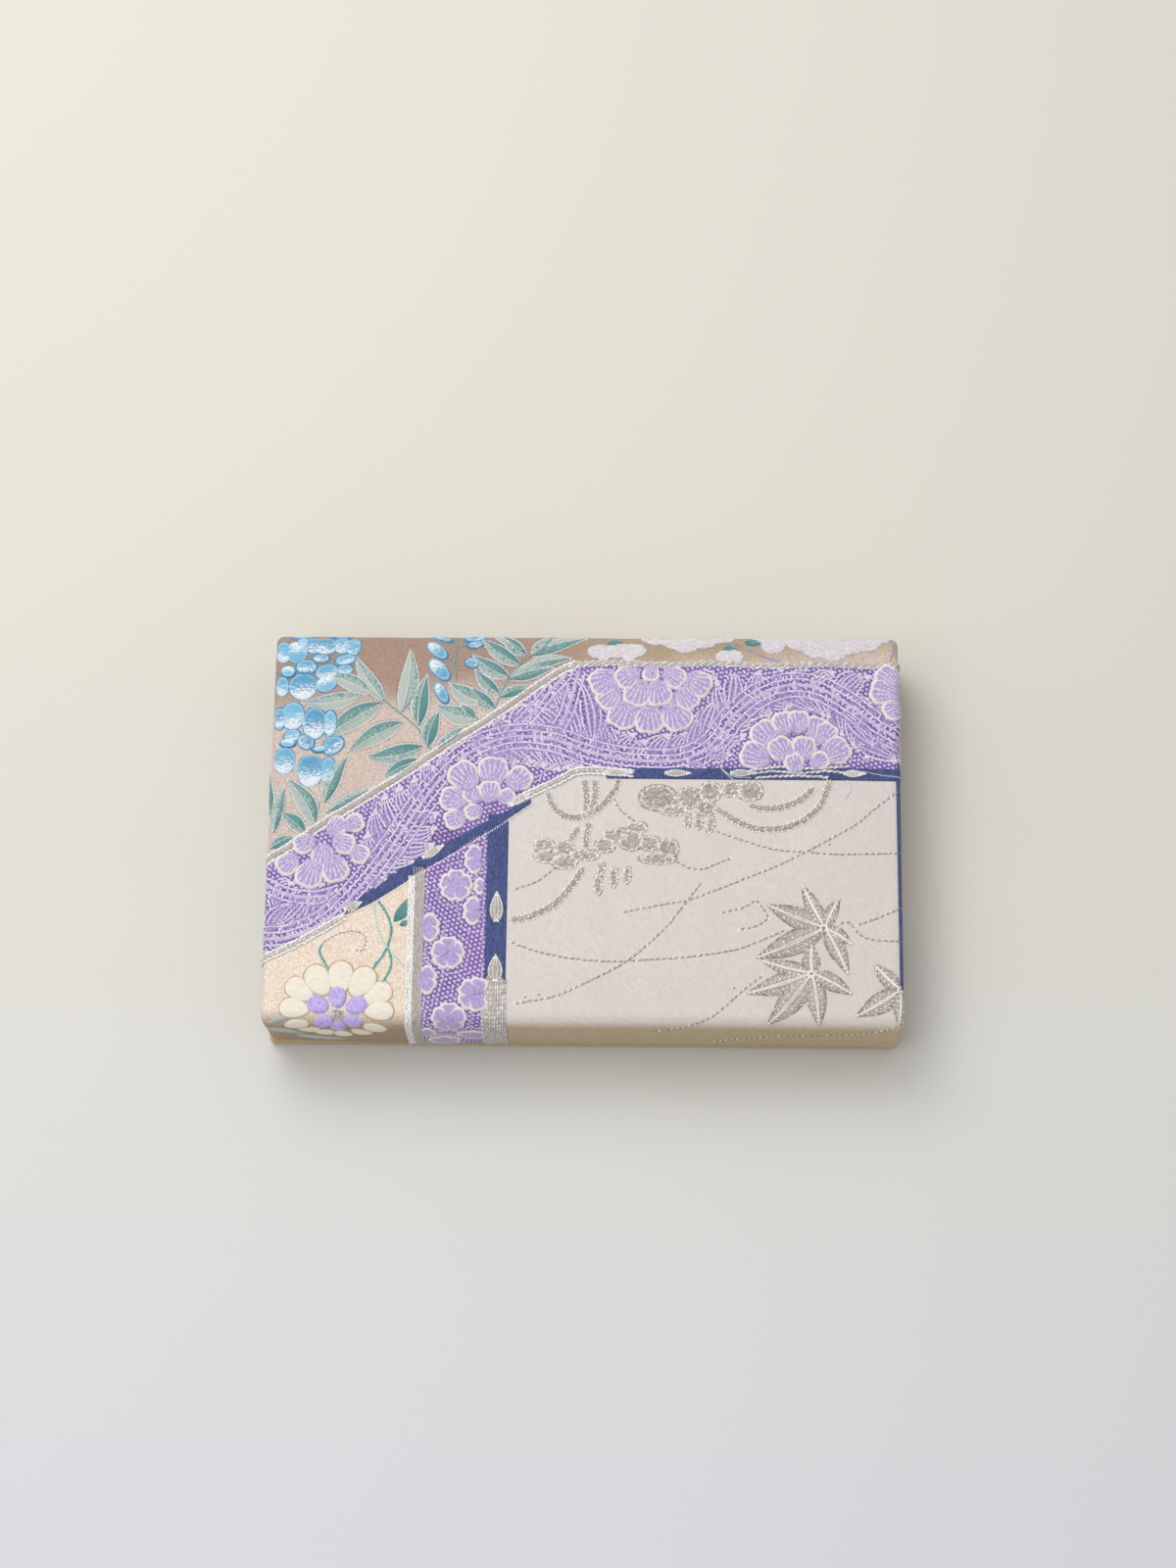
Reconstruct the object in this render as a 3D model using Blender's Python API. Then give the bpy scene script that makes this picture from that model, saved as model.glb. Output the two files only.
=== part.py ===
"""A clutch bag in brocade, closed and lying on its back.

The flap wraps over the face and round the lower edge, like a case-bound book.
X runs along the bag's width, Y from the lower edge to the spine, Z up from the back panel.
Run with blender --background --python part.py
"""
import math
from collections import namedtuple

import bmesh
import bpy
from mathutils import Matrix, Vector

# Outer sizes, in metres
WIDTH = 0.240
HEIGHT = 0.155
DEPTH = 0.034

# Cloth and board thicknesses, from the outside in
BROCADE = 0.0009
WADDING = 0.0009
BOARD = 0.0014
LINING = 0.0006
POUCH_BOARD = 0.0010
GAP = 0.0003
LINING_INSET = 0.0003

# Edges and folds
EDGE = 0.0030
FOLD_RADIUS = 0.0040
FOLD_WRAP = math.radians(112)
BEND_INNER_RADIUS = 0.0010
EDGE_ROUND_SHARE = 0.40
EDGE_FLAT_SHARE = 0.06
CUT_OVER = 0.0005

# Pouch, gussets and pocket
SNAP_ROOM = 0.0035
LIP_PLAY = 0.0008
POUCH_SIDE_INSET = 0.0020
MOUTH_DROP = 0.0190
GUSSET_CLOTH = 0.0008
GUSSET_FLANGE = 0.0030
GUSSET_FOLD = 0.0090
GUSSET_INSET = 0.0010
POCKET_WIDTH = 0.130
POCKET_HEIGHT = 0.085
POCKET_DROP = 0.0100
POCKET_CLOTH = 0.0007
POCKET_SEAM = 0.0030
POCKET_ROOM = 0.0008
POCKET_CORNER = 0.0080

# Magnetic snap
SNAP_FROM_EDGE = 0.0325
SNAP_RADIUS = 0.0090
SNAP_HOLE_RADIUS = 0.0032
SNAP_PIN_RADIUS = 0.0027
SNAP_STUD_PLATE = 0.0009
SNAP_FLOOR = 0.0005

# How far the woven picture stands above the satin ground
RAISE_GOLD = 0.00015
RAISE_TAN = 0.00020
RAISE_PURPLE = 0.00030
RAISE_NAVY = 0.00040
RAISE_SILVER = 0.00055
RAISE_LINE = 0.00025
RAISE_MAPLE = 0.00035
RAISE_LEAF = 0.00045
RAISE_PETAL = 0.00050
RAISE_BLOSSOM = 0.00060

# Sizes that follow from those above
PANEL = BROCADE + GAP + WADDING + GAP + BOARD + GAP + LINING + LINING_INSET
POUCH_PANEL = BROCADE + GAP + POUCH_BOARD + GAP + LINING
FRONT = -HEIGHT / 2
HALF_WIDTH = WIDTH / 2
FOLD_Y = HEIGHT / 2 - FOLD_RADIUS
BACK_FOLD_Z = FOLD_RADIUS
FLAP_FOLD_Z = DEPTH - FOLD_RADIUS
RELIEF_RADIUS = FOLD_RADIUS + GAP
INNER_END = FOLD_Y - RELIEF_RADIUS - BROCADE
LIP_TIP = PANEL + GAP
POUCH_TOP = DEPTH - PANEL - SNAP_ROOM
POUCH_FRONT = FRONT + PANEL + LIP_PLAY
POUCH_HALF = HALF_WIDTH - POUCH_SIDE_INSET
MOUTH_Y = HEIGHT / 2 - MOUTH_DROP
SNAP_Y = FRONT + SNAP_FROM_EDGE
STEPS_BEND = 8
STEPS_FOLD = 10
STEPS_CORNER = 3

Wrap = namedtuple("Wrap", "top front bend tip half_width end")
FLAP = Wrap(DEPTH, FRONT, PANEL + BEND_INNER_RADIUS, LIP_TIP, HALF_WIDTH, FOLD_Y)
POUCH = Wrap(POUCH_TOP, POUCH_FRONT, POUCH_PANEL + BEND_INNER_RADIUS, LIP_TIP, POUCH_HALF, MOUTH_Y)


def clear_scene():
    for old in list(bpy.data.objects):
        bpy.data.objects.remove(old, do_unlink=True)


def material(name, colour, roughness, metallic=0.0):
    """A Principled material, made once and then shared."""
    mat = bpy.data.materials.get(name) or bpy.data.materials.new(name)
    mat.use_nodes = True
    mat.diffuse_color = (*colour, 1.0)
    shader = mat.node_tree.nodes["Principled BSDF"]
    shader.inputs["Base Color"].default_value = (*colour, 1.0)
    shader.inputs["Roughness"].default_value = roughness
    shader.inputs["Metallic"].default_value = metallic
    return mat


def satin():
    return material("ivory_satin", (0.72, 0.67, 0.64), 0.55)


def tan_ground():
    return material("tan_twill", (0.38, 0.24, 0.17), 0.6)


def gold_ground():
    return material("peach_gold_twill", (0.76, 0.58, 0.42), 0.4, 0.3)


def purple_weave():
    return material("purple_weave", (0.33, 0.20, 0.50), 0.6)


def navy_weave():
    return material("navy_weave", (0.05, 0.06, 0.19), 0.6)


def silver_thread():
    return material("silver_thread", (0.62, 0.60, 0.57), 0.35, 0.7)


def blue_petal():
    return material("blue_petal", (0.22, 0.45, 0.62), 0.6)


def sage_leaf():
    return material("sage_leaf", (0.30, 0.45, 0.42), 0.6)


def white_blossom():
    return material("white_blossom", (0.82, 0.78, 0.80), 0.6)


def lilac_blossom():
    return material("lilac_blossom", (0.52, 0.42, 0.76), 0.6)


def ivory_petal():
    return material("ivory_petal", (0.80, 0.74, 0.60), 0.6)


def brown_silver_thread():
    return material("brown_silver_thread", (0.46, 0.40, 0.36), 0.4, 0.6)


def wadding_fibre():
    return material("wadding_fibre", (0.85, 0.84, 0.80), 0.95)


def card():
    return material("grey_board", (0.35, 0.32, 0.28), 0.9)


def lining_cloth():
    return material("lining_cloth", (0.60, 0.53, 0.55), 0.7)


def snap_metal():
    return material("nickel", (0.65, 0.64, 0.61), 0.25, 1.0)


def arc(centre_y, centre_z, radius, start, end, steps):
    """Points (y, z) along a circular arc."""
    angles = [start + (end - start) * i / steps for i in range(steps + 1)]
    return [(centre_y + radius * math.cos(a), centre_z + radius * math.sin(a)) for a in angles]


def corner(y, z, radius, start):
    """A quarter turn ending a lip, anticlockwise from start, with its corner at (y, z)."""
    if not radius:
        return [(y, z)]
    side = 1 if start < 1.25 * math.pi else -1
    return arc(y + side * radius, z + radius, radius, start, start + math.pi / 2, STEPS_CORNER)


def wrap_outline(wrap, outer_depth, inner_depth, end, tip, outer_corner=0, inner_corner=0):
    """Outline (y, z) of an L-shaped layer between two depths under the wrap's outer face.

    It runs from y = end along the face, round the bend and down to z = tip.
    """
    centre_y = wrap.front + wrap.bend
    centre_z = wrap.top - wrap.bend
    quarter = math.pi / 2
    outer = arc(centre_y, centre_z, wrap.bend - outer_depth, quarter, 2 * quarter, STEPS_BEND)
    inner = arc(centre_y, centre_z, wrap.bend - inner_depth, 2 * quarter, quarter, STEPS_BEND)
    lip = corner(wrap.front + outer_depth, tip, outer_corner, 2 * quarter)
    lip += corner(wrap.front + inner_depth, tip, inner_corner, 3 * quarter)
    back = [(end, wrap.top - inner_depth), (end, wrap.top - outer_depth)]
    return outer + lip + inner + back


def slab_outline(front, end, bottom, top, round_corner=0):
    """Outline (y, z) of a flat layer, with its front corners rounded."""
    if not round_corner:
        return [(front, bottom), (end, bottom), (end, top), (front, top)]
    middle = front + round_corner
    half_turn = arc(middle, top - round_corner, round_corner, math.pi / 2, math.pi, STEPS_CORNER)
    half_turn += arc(middle, bottom + round_corner, round_corner, math.pi, 1.5 * math.pi, STEPS_CORNER)
    return half_turn + [(end, bottom), (end, top)]


def spine_outline(radius, inner_y):
    """Outline (y, z) of the spine: an upright strip with a rolled fold at its foot and head."""
    foot = arc(FOLD_Y, BACK_FOLD_Z, radius, -FOLD_WRAP, 0, STEPS_FOLD)
    head = arc(FOLD_Y, FLAP_FOLD_Z, radius, 0, FOLD_WRAP, STEPS_FOLD)
    inner = [(inner_y, head[-1][1]), (inner_y, foot[0][1])]
    return foot + head + inner


def prism(outline, low, high, along="X"):
    """A bmesh solid: an outline carried along one axis, (y, z) along X or (x, z) along Y or (x, y) along Z."""
    bm = bmesh.new()
    place = {
        "X": lambda a, b, s: (s, a, b),
        "Y": lambda a, b, s: (a, s, b),
        "Z": lambda a, b, s: (a, b, s),
    }[along]
    face = bm.faces.new([bm.verts.new(place(a, b, low)) for a, b in outline])
    grown = bmesh.ops.extrude_face_region(bm, geom=[face])
    shift = Vector(place(0, 0, high)) - Vector(place(0, 0, low))
    moved = [item for item in grown["geom"] if isinstance(item, bmesh.types.BMVert)]
    bmesh.ops.translate(bm, verts=moved, vec=shift)
    bmesh.ops.recalc_face_normals(bm, faces=bm.faces)
    return bm


def rounded_sides(half_width, radius, outline_at):
    """A bmesh solid across the bag whose outline shrinks at both sides by a quarter round.

    outline_at(inset) gives the (y, z) outline when its free edges are moved in by inset.
    """
    turns = [math.pi / 2 * i / STEPS_CORNER for i in range(STEPS_CORNER + 1)]
    stations = [(half_width - radius * (1 - math.cos(turn)), radius * (1 - math.sin(turn))) for turn in turns]
    sections = [(-x, inset) for x, inset in stations] + [(x, inset) for x, inset in reversed(stations)]
    bm = bmesh.new()
    rings = [[bm.verts.new((x, y, z)) for y, z in outline_at(inset)] for x, inset in sections]
    for ring, following in zip(rings, rings[1:]):
        for i in range(len(ring)):
            bm.faces.new((ring[i - 1], ring[i], following[i], following[i - 1]))
    bm.faces.new(rings[0])
    bm.faces.new(rings[-1])
    bmesh.ops.recalc_face_normals(bm, faces=bm.faces)
    return bm


def place(name, bm, mat):
    """Turns a bmesh into a named object with one material."""
    mesh = bpy.data.meshes.new(name)
    bm.to_mesh(mesh)
    bm.free()
    mesh.materials.append(mat)
    obj = bpy.data.objects.new(name, mesh)
    bpy.context.scene.collection.objects.link(obj)
    return obj


def cutter(name, bm, mat):
    """An object that only shapes another one."""
    obj = place(name, bm, mat)
    obj.hide_render = True
    obj.display_type = "WIRE"
    return obj


def shape(obj, tool, operation):
    """Adds a Boolean that keeps each operand's own material."""
    modifier = obj.modifiers.new(f"{operation.lower()}_{tool.name}", "BOOLEAN")
    modifier.operation = operation
    modifier.solver = "EXACT"
    modifier.material_mode = "TRANSFER"
    modifier.object = tool


def fold_relief(name, z):
    """A round cutter on a fold's axis, so that the rolled fold can turn in the panel's end."""
    bm = bmesh.new()
    reach = WIDTH + 4 * EDGE
    lie_down = Matrix.Translation((0, FOLD_Y, z)) @ Matrix.Rotation(math.pi / 2, 4, "Y")
    bmesh.ops.create_cone(bm, cap_ends=True, segments=40, radius1=RELIEF_RADIUS, radius2=RELIEF_RADIUS,
                          depth=reach, matrix=lie_down)
    return cutter(name, bm, satin())


def wrapped_cover(name, wrap, thickness, mat):
    """The cloth over an L-shaped panel, with rounded edges."""
    rounding = thickness * EDGE_ROUND_SHARE

    def outline_at(inset):
        tip_round = rounding + thickness * EDGE_FLAT_SHARE - inset
        return wrap_outline(wrap, inset, thickness - inset, wrap.end, wrap.tip + inset, tip_round, tip_round)

    return place(name, rounded_sides(wrap.half_width, rounding, outline_at), mat)


def wrapped_pocket(name, wrap, thickness, end):
    """The hollow in a wrapped cover, open on its inner side."""
    outline = wrap_outline(wrap, BROCADE, thickness + CUT_OVER, end, wrap.tip + EDGE)
    half = wrap.half_width - EDGE
    return cutter(name, prism(outline, -half, half), satin())


def wrapped_layer(name, wrap, outer_depth, layer, end, mat):
    """A sheet that fills its share of a wrapped cover's hollow."""
    outline = wrap_outline(wrap, outer_depth, outer_depth + layer, end - GAP, wrap.tip + EDGE + GAP)
    half = wrap.half_width - EDGE - GAP
    return place(name, prism(outline, -half, half), mat)


def picture_layer(name, raise_by, mat):
    """The flap's outer half, grown by one raise, for cutting the woven fields from."""
    rounding = PANEL * EDGE_ROUND_SHARE + raise_by

    def outline_at(inset):
        tip_round = rounding + PANEL * EDGE_FLAT_SHARE - inset
        tip = FLAP.tip + raise_by + inset
        return wrap_outline(FLAP, inset - raise_by, PANEL / 2, FOLD_Y, tip, tip_round)

    return cutter(name, rounded_sides(HALF_WIDTH + raise_by, rounding, outline_at), mat)


def field(name, corners, raise_by, mat):
    """One woven field of the picture, from its corners in millimetres on the face."""
    points = [(x / 1000, y / 1000) for x, y in corners]
    obj = cutter(name, prism(points, 0, 2 * DEPTH, "Z"), mat)
    shape(obj, picture_layer(f"{name}_layer", raise_by, mat), "INTERSECT")
    return obj


# Corners of the woven fields, in millimetres on the flap's face.
# Beyond the lower edge they run on down the lip.
OFF_SIDE = 125
OFF_LIP = -85
TOP_EDGE = 71.5
FIELDS = (
    ("tan_field", tan_ground, RAISE_TAN,
     ((-OFF_SIDE, TOP_EDGE), (-OFF_SIDE, -14), (-6, 65), (OFF_SIDE, 65), (OFF_SIDE, TOP_EDGE))),
    ("gold_field", gold_ground, RAISE_GOLD,
     ((-OFF_SIDE, -54), (-OFF_SIDE, OFF_LIP), (-62, OFF_LIP), (-62, -18))),
    ("purple_field", purple_weave, RAISE_PURPLE,
     ((-OFF_SIDE, -15), (-OFF_SIDE, -52), (-88, -31), (-20, 12), (0, 22), (OFF_SIDE, 22), (OFF_SIDE, 65), (-6, 65))),
    ("purple_strip", purple_weave, RAISE_PURPLE,
     ((-60.5, -14), (-60.5, OFF_LIP), (-36, OFF_LIP), (-36, 1))),
    ("navy_slope", navy_weave, RAISE_NAVY,
     ((-92, -31), (-88, -35), (-20, 9.5), (-21, 14), (-24, 12.5))),
    ("navy_level", navy_weave, RAISE_NAVY,
     ((10, 19.5), (OFF_SIDE, 19.5), (OFF_SIDE, 24.3), (10, 24.3))),
    ("navy_upright", navy_weave, RAISE_NAVY,
     ((-36.8, 1), (-36.8, -59), (-28.5, -59), (-28.5, 6))),
    ("silver_slope", silver_thread, RAISE_SILVER,
     ((-OFF_SIDE, -17.5), (-OFF_SIDE, -13.5), (-8, 67), (OFF_SIDE, 67), (OFF_SIDE, 64.4), (-6.5, 64.4))),
    ("silver_lower", silver_thread, RAISE_SILVER,
     ((-OFF_SIDE, -53), (-OFF_SIDE, -58), (-86, -34.4), (-84, -29), (-90, -30.5))),
    ("silver_turn", silver_thread, RAISE_SILVER,
     ((-29, 9), (-20, 11), (-9, 17), (12, 20.5), (12, 22.5), (-2, 24), (-26, 12.5))),
    ("silver_upright", silver_thread, RAISE_SILVER,
     ((-65.5, -20.5), (-65.5, OFF_LIP), (-59.5, OFF_LIP), (-59.5, -16))),
    ("silver_block", silver_thread, RAISE_SILVER,
     ((-37.5, -62), (-37.5, OFF_LIP), (-28.2, OFF_LIP), (-28.2, -58), (-32.5, -51))),
)


# Simple shapes of the woven picture, in millimetres on the flap's face
# Ovals: x, y, half width, half height
WISTERIA = (
    (-112, 70, 4.7, 5), (-102, 72.5, 6, 4), (-92, 72.5, 4.5, 4), (-105, 66, 5, 3), (-93, 67, 4.5, 2.2),
    (-109, 56, 5.6, 5.6), (-100, 60, 5, 4.5), (-116, 57, 3, 5), (-113, 44, 4.6, 6), (-104, 41, 4.8, 6.8),
    (-98, 41, 2.8, 6), (-112, 35, 4, 2.8), (-106, 33, 3.6, 3), (-97, 32, 4.9, 3.2), (-115, 26, 4.4, 5.7),
    (-105, 22, 5.4, 6.8), (-98, 22, 3.2, 6), (-57.5, 70, 3.6, 3.4), (-56.5, 62, 3.8, 3.8), (-55.5, 53.5, 2.8, 4),
)
TOP_BLOSSOMS = (
    (6, 70.6, 5.6, 2.8), (15, 70.3, 7, 3), (38, 73, 9, 4.5), (55.3, 69.6, 4, 3), (71.5, 73, 5, 4.2), (94, 73, 11, 6),
)
BAND_BLOSSOMS = (
    (7, 57.5, 5, 5.5), (16, 58, 5, 4), (26, 59, 5, 4), (35, 58, 5, 4), (43.5, 56, 5, 5), (14.5, 46, 5.5, 6),
    (25, 46.5, 6, 8), (36, 46, 6, 6.5), (65, 30, 5.5, 5), (69.5, 37.5, 5.5, 5), (78.5, 41, 5, 6), (89, 39.5, 5.5, 5),
    (95.5, 31, 5, 5.5), (80, 31, 8, 6), (114, 54, 5, 8), (-46, 20, 4.5, 6.5), (-34.5, 20.5, 5, 6), (-24.5, 18.8, 4, 3.6),
    (-50, 11, 4.2, 4.6), (-50, 2.5, 4, 3.6), (-39, 12, 6, 5), (-112, -15, 4, 3.6), (-105, -9, 4, 4), (-94, -3, 5, 4),
    (-86, 0, 4.5, 3.6), (-88, -9.5, 5, 4.6), (-103, -17.5, 5, 5), (-94, -14.5, 5.5, 5.5),
)
STRIP_FLOWERS = (
    (-41.5, -16, 4, 5), (-50, -29.5, 6, 6), (-41, -36, 3.6, 6), (-55.5, -46, 3.6, 4.6), (-48, -54.5, 6, 6),
    (-56, -64, 3.2, 5),
)
MUM_PETALS = (
    (-109, -69, 5, 3), (-106, -63, 5, 4), (-99, -60, 5, 5.6), (-89.5, -59, 4.4, 5.6), (-81, -61, 5, 5.6),
    (-75, -66, 4.6, 4.6), (-74.5, -70, 5, 3),
)
MUM_HEART = ((-98.5, -68, 4.5, 3.6), (-91, -67, 3.2, 4), (-84, -68.5, 4.2, 3.6))
CLUSTERS = (
    (-15, -9.5, 5, 4), (-7, -11, 5, 4.5), (9, -6, 5, 4), (18, -3, 6, 5), (29, -9, 7, 5), (28, 12, 6, 4.5),
    (40, 12, 5.5, 4.5), (50, 14, 6, 3.8), (63, 14.5, 5, 3.6), (5.7, -20, 1.8, 5.5), (11.5, -19.5, 1.6, 4),
    (43.5, 3, 1.6, 3.5), (48, 1.5, 1.5, 3.2),
)
# Leaves and lobes: base x, y, tip x, y, half width
LEAVES = (
    (-77, 50, -89.5, 69, 3.2), (-71, 45, -68, 71, 4), (-82, 53, -96, 59, 3), (-78, 49.5, -97, 36, 4.2),
    (-70, 41.5, -91, 29, 4), (-64, 40, -61, 60, 3.8), (-60.5, 31.5, -56, 46.5, 3), (-62, 32, -84, 27.5, 3.6),
    (-63, 26.5, -77, 19, 2.6), (-41, 43, -58, 48.5, 3.6), (-40, 50, -51, 57, 3.4), (-97, 9, -90.5, 28, 3.4),
    (-98.5, 5, -81, 15, 2), (-104, 1, -114, 18, 3.6), (-106, -3, -115, 5, 2.4), (-25, 65, -38, 71, 3),
    (-29.5, 59.5, -12, 64, 3), (-31, 60, -44, 69.5, 3.4), (-34, 53, -43, 63, 2.8), (-33, 52, -21, 56, 2.2),
    (-24, 67, -8, 69, 2.6),
)
MAPLE_LOBES = (
    (91, -38.5, 82.5, -21.5, 2.6), (91, -38.5, 96.5, -27, 2.3), (91, -38.5, 101, -45, 2.3),
    (91, -38.5, 99.5, -56.5, 3), (91, -38.5, 65, -50.5, 4.2), (91, -38.5, 69, -29.5, 3.6),
    (86, -56, 61.5, -64, 3.6), (86, -56, 67.5, -51.5, 2.6), (86, -57, 87, -44, 3), (86, -56, 101, -64, 2.9),
    (86, -56, 88.5, -71, 3.3), (86, -56, 72, -71, 4), (117.5, -62, 109, -52, 2.6), (117.5, -62, 102, -70, 3.5),
)
MAPLE_CENTRES = ((91, -38.5, 2.1, 2.1), (86, -56.2, 2.1, 2.1), (116, -62, 2.1, 2.1))
LOZENGES = (
    (-90, -33, -83.5, -30, 1.9), (-61, -12.5, -53, -7.5, 1.6), (30.5, 21.8, 40.5, 21.8, 1.3),
    (55.5, 21.8, 64.5, 21.8, 1.3), (98.5, 21.8, 107, 21.8, 1.3), (-32.5, -37.5, -32.5, -25.5, 2.6),
)
# Lines of thread on the satin
LINES = (
    ((117, 14), (103, 2), (84, -9), (60, -20), (40, -28), (15, -33)),
    ((-26, -45), (-8, -50.5), (12, -52), (45, -49.5), (66, -44.5)),
    ((-25, -68), (0, -61), (18, -51), (32, -38), (44, -22)),
    ((-26, -36), (-12, -31), (-3, -20)),
    ((52, 7), (66, 0.5), (84, 4), (92, 17)),
    ((117, -9), (100, -9.8), (88, -9.2)),
    ((67, -57.5), (58, -65), (50, -70.5)),
)
LINE_WIDTH = 0.0012
# The flat part of the face, which the shapes are cut to
FACE_MARGIN = 0.0005
FACE_HALF = HALF_WIDTH - PANEL * EDGE_ROUND_SHARE - FACE_MARGIN
FACE_LOW = FRONT + FLAP.bend + FACE_MARGIN
FACE_HIGH = FOLD_Y - PANEL / 2


def oval(x, y, half_width, half_height, points=9):
    """Outline (x, y) of an oval."""
    turns = [2 * math.pi * (i + 0.5) / points for i in range(points)]
    return [(x + half_width * math.cos(turn), y + half_height * math.sin(turn)) for turn in turns]


def leaf(x, y, tip_x, tip_y, half_width):
    """Outline (x, y) of a leaf from its base to its tip."""
    run = Vector((tip_x - x, tip_y - y))
    aside = Vector((-run.y, run.x)).normalized() * half_width
    base = Vector((x, y))
    right = [base + run * share - aside * width for share, width in ((0.2, 0.75), (0.5, 1), (0.8, 0.6))]
    left = [base + run * share + aside * width for share, width in ((0.8, 0.6), (0.5, 1), (0.2, 0.75))]
    return [tuple(point) for point in [base, *right, Vector((tip_x, tip_y)), *left]]


def clipped(outline, axis, limit, side):
    """The part of an outline where side times the coordinate is at most side times the limit."""
    kept = []
    for i, here in enumerate(outline):
        before = outline[i - 1]
        inside_before = side * before[axis] <= side * limit
        inside_here = side * here[axis] <= side * limit
        if inside_before != inside_here:
            share = (limit - before[axis]) / (here[axis] - before[axis])
            kept.append(tuple(before[k] + (here[k] - before[k]) * share for k in (0, 1)))
        if inside_here:
            kept.append(here)
    return kept


def on_face(outline):
    """An outline in millimetres, turned to metres and cut to the flat face."""
    points = [(x / 1000, y / 1000) for x, y in outline]
    for axis, limit, side in ((0, FACE_HALF, 1), (0, -FACE_HALF, -1), (1, FACE_HIGH, 1), (1, FACE_LOW, -1)):
        points = clipped(points, axis, limit, side)
    return points


def figure(name, number, points, raise_by, mat):
    """One raised shape of the picture, standing on the flap's cloth."""
    return cutter(f"{name}_{number}", prism(points, DEPTH - BROCADE / 2, DEPTH + raise_by, "Z"), mat)


def thread_line(line):
    """Outline (x, y) of a line of thread, in millimetres."""
    outline = thickened([(x / 1000, y / 1000) for x, y in line], LINE_WIDTH)
    return [(x * 1000, y * 1000) for x, y in outline]


def shape_figures(cover):
    """Joins the picture's shapes to the cover, one family after another."""
    families = (
        ("wisteria", [oval(*row) for row in WISTERIA], RAISE_PETAL, blue_petal()),
        ("leaf", [leaf(*row) for row in LEAVES], RAISE_LEAF, sage_leaf()),
        ("top_blossom", [oval(*row) for row in TOP_BLOSSOMS], RAISE_PETAL, white_blossom()),
        ("band_blossom", [oval(*row) for row in BAND_BLOSSOMS], RAISE_BLOSSOM, lilac_blossom()),
        ("strip_flower", [oval(*row) for row in STRIP_FLOWERS], RAISE_BLOSSOM, lilac_blossom()),
        ("mum_petal", [oval(*row) for row in MUM_PETALS], RAISE_LEAF, ivory_petal()),
        ("mum_heart", [oval(*row) for row in MUM_HEART], RAISE_BLOSSOM, lilac_blossom()),
        ("cluster", [oval(*row) for row in CLUSTERS], RAISE_LEAF, brown_silver_thread()),
        ("maple", [oval(*row) for row in MAPLE_CENTRES] + [leaf(*row) for row in MAPLE_LOBES], RAISE_MAPLE,
         brown_silver_thread()),
        ("lozenge", [leaf(*row) for row in LOZENGES], RAISE_BLOSSOM, silver_thread()),
        ("thread_line", [thread_line(line) for line in LINES], RAISE_LINE, brown_silver_thread()),
    )
    for name, outlines, raise_by, mat in families:
        group = bpy.data.collections.new(name)
        bpy.context.scene.collection.children.link(group)
        for number, points in enumerate(filter(None, map(on_face, outlines))):
            group.objects.link(figure(name, number, points, raise_by, mat))
        modifier = cover.modifiers.new(f"union_{name}", "BOOLEAN")
        modifier.operation = "UNION"
        modifier.solver = "EXACT"
        modifier.material_mode = "TRANSFER"
        modifier.operand_type = "COLLECTION"
        modifier.collection = group


def build_flap():
    cover = wrapped_cover("flap_cover", FLAP, PANEL, satin())
    for name, colour, raise_by, corners in FIELDS:
        shape(cover, field(name, corners, raise_by, colour()), "UNION")
    shape_figures(cover)
    shape(cover, fold_relief("flap_fold_relief", FLAP_FOLD_Z), "DIFFERENCE")
    shape(cover, wrapped_pocket("flap_pocket", FLAP, PANEL, INNER_END), "DIFFERENCE")
    depth = BROCADE + GAP
    wrapped_layer("flap_wadding", FLAP, depth, WADDING, INNER_END, wadding_fibre())
    depth += WADDING + GAP
    board = wrapped_layer("flap_board", FLAP, depth, BOARD, INNER_END, card())
    board_z = DEPTH - depth
    shape(board, snap_hole("stud_plate_hole", board_z), "DIFFERENCE")
    plate("stud_plate", board_z - BOARD, board_z)
    depth += BOARD + GAP
    wrapped_layer("flap_lining", FLAP, depth, LINING, INNER_END, lining_cloth())
    build_snap(DEPTH - depth - LINING - GAP)


def build_pouch():
    cover = wrapped_cover("pouch_cover", POUCH, POUCH_PANEL, tan_ground())
    shape(cover, wrapped_pocket("pouch_pocket", POUCH, POUCH_PANEL, POUCH.end - EDGE), "DIFFERENCE")
    depth = BROCADE + GAP
    board = wrapped_layer("pouch_board", POUCH, depth, POUCH_BOARD, POUCH.end - EDGE, card())
    board_z = POUCH_TOP - depth
    shape(board, snap_hole("socket_plate_hole", board_z), "DIFFERENCE")
    plate("socket_plate", board_z - POUCH_BOARD, board_z)
    depth += POUCH_BOARD + GAP
    wrapped_layer("pouch_lining", POUCH, depth, LINING, POUCH.end - EDGE, lining_cloth())


def build_back():
    rounding = PANEL * EDGE_ROUND_SHARE

    def outline_at(inset):
        edge_round = rounding + PANEL * EDGE_FLAT_SHARE - inset
        return slab_outline(FRONT + inset, FOLD_Y, inset, PANEL - inset, edge_round)

    cover = place("back_cover", rounded_sides(HALF_WIDTH, rounding, outline_at), satin())
    shape(cover, fold_relief("back_fold_relief", BACK_FOLD_Z), "DIFFERENCE")
    half = HALF_WIDTH - EDGE
    hollow = prism(slab_outline(FRONT + EDGE, INNER_END, BROCADE, PANEL + CUT_OVER), -half, half)
    shape(cover, cutter("back_pocket", hollow, satin()), "DIFFERENCE")
    level = BROCADE + GAP
    layers = (("back_wadding", WADDING, wadding_fibre()), ("back_board", BOARD, card()),
              ("back_lining", LINING, lining_cloth()))
    half -= GAP
    for name, layer, mat in layers:
        outline = slab_outline(FRONT + EDGE + GAP, INNER_END - GAP, level, level + layer)
        place(name, prism(outline, -half, half), mat)
        level += layer + GAP


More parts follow.
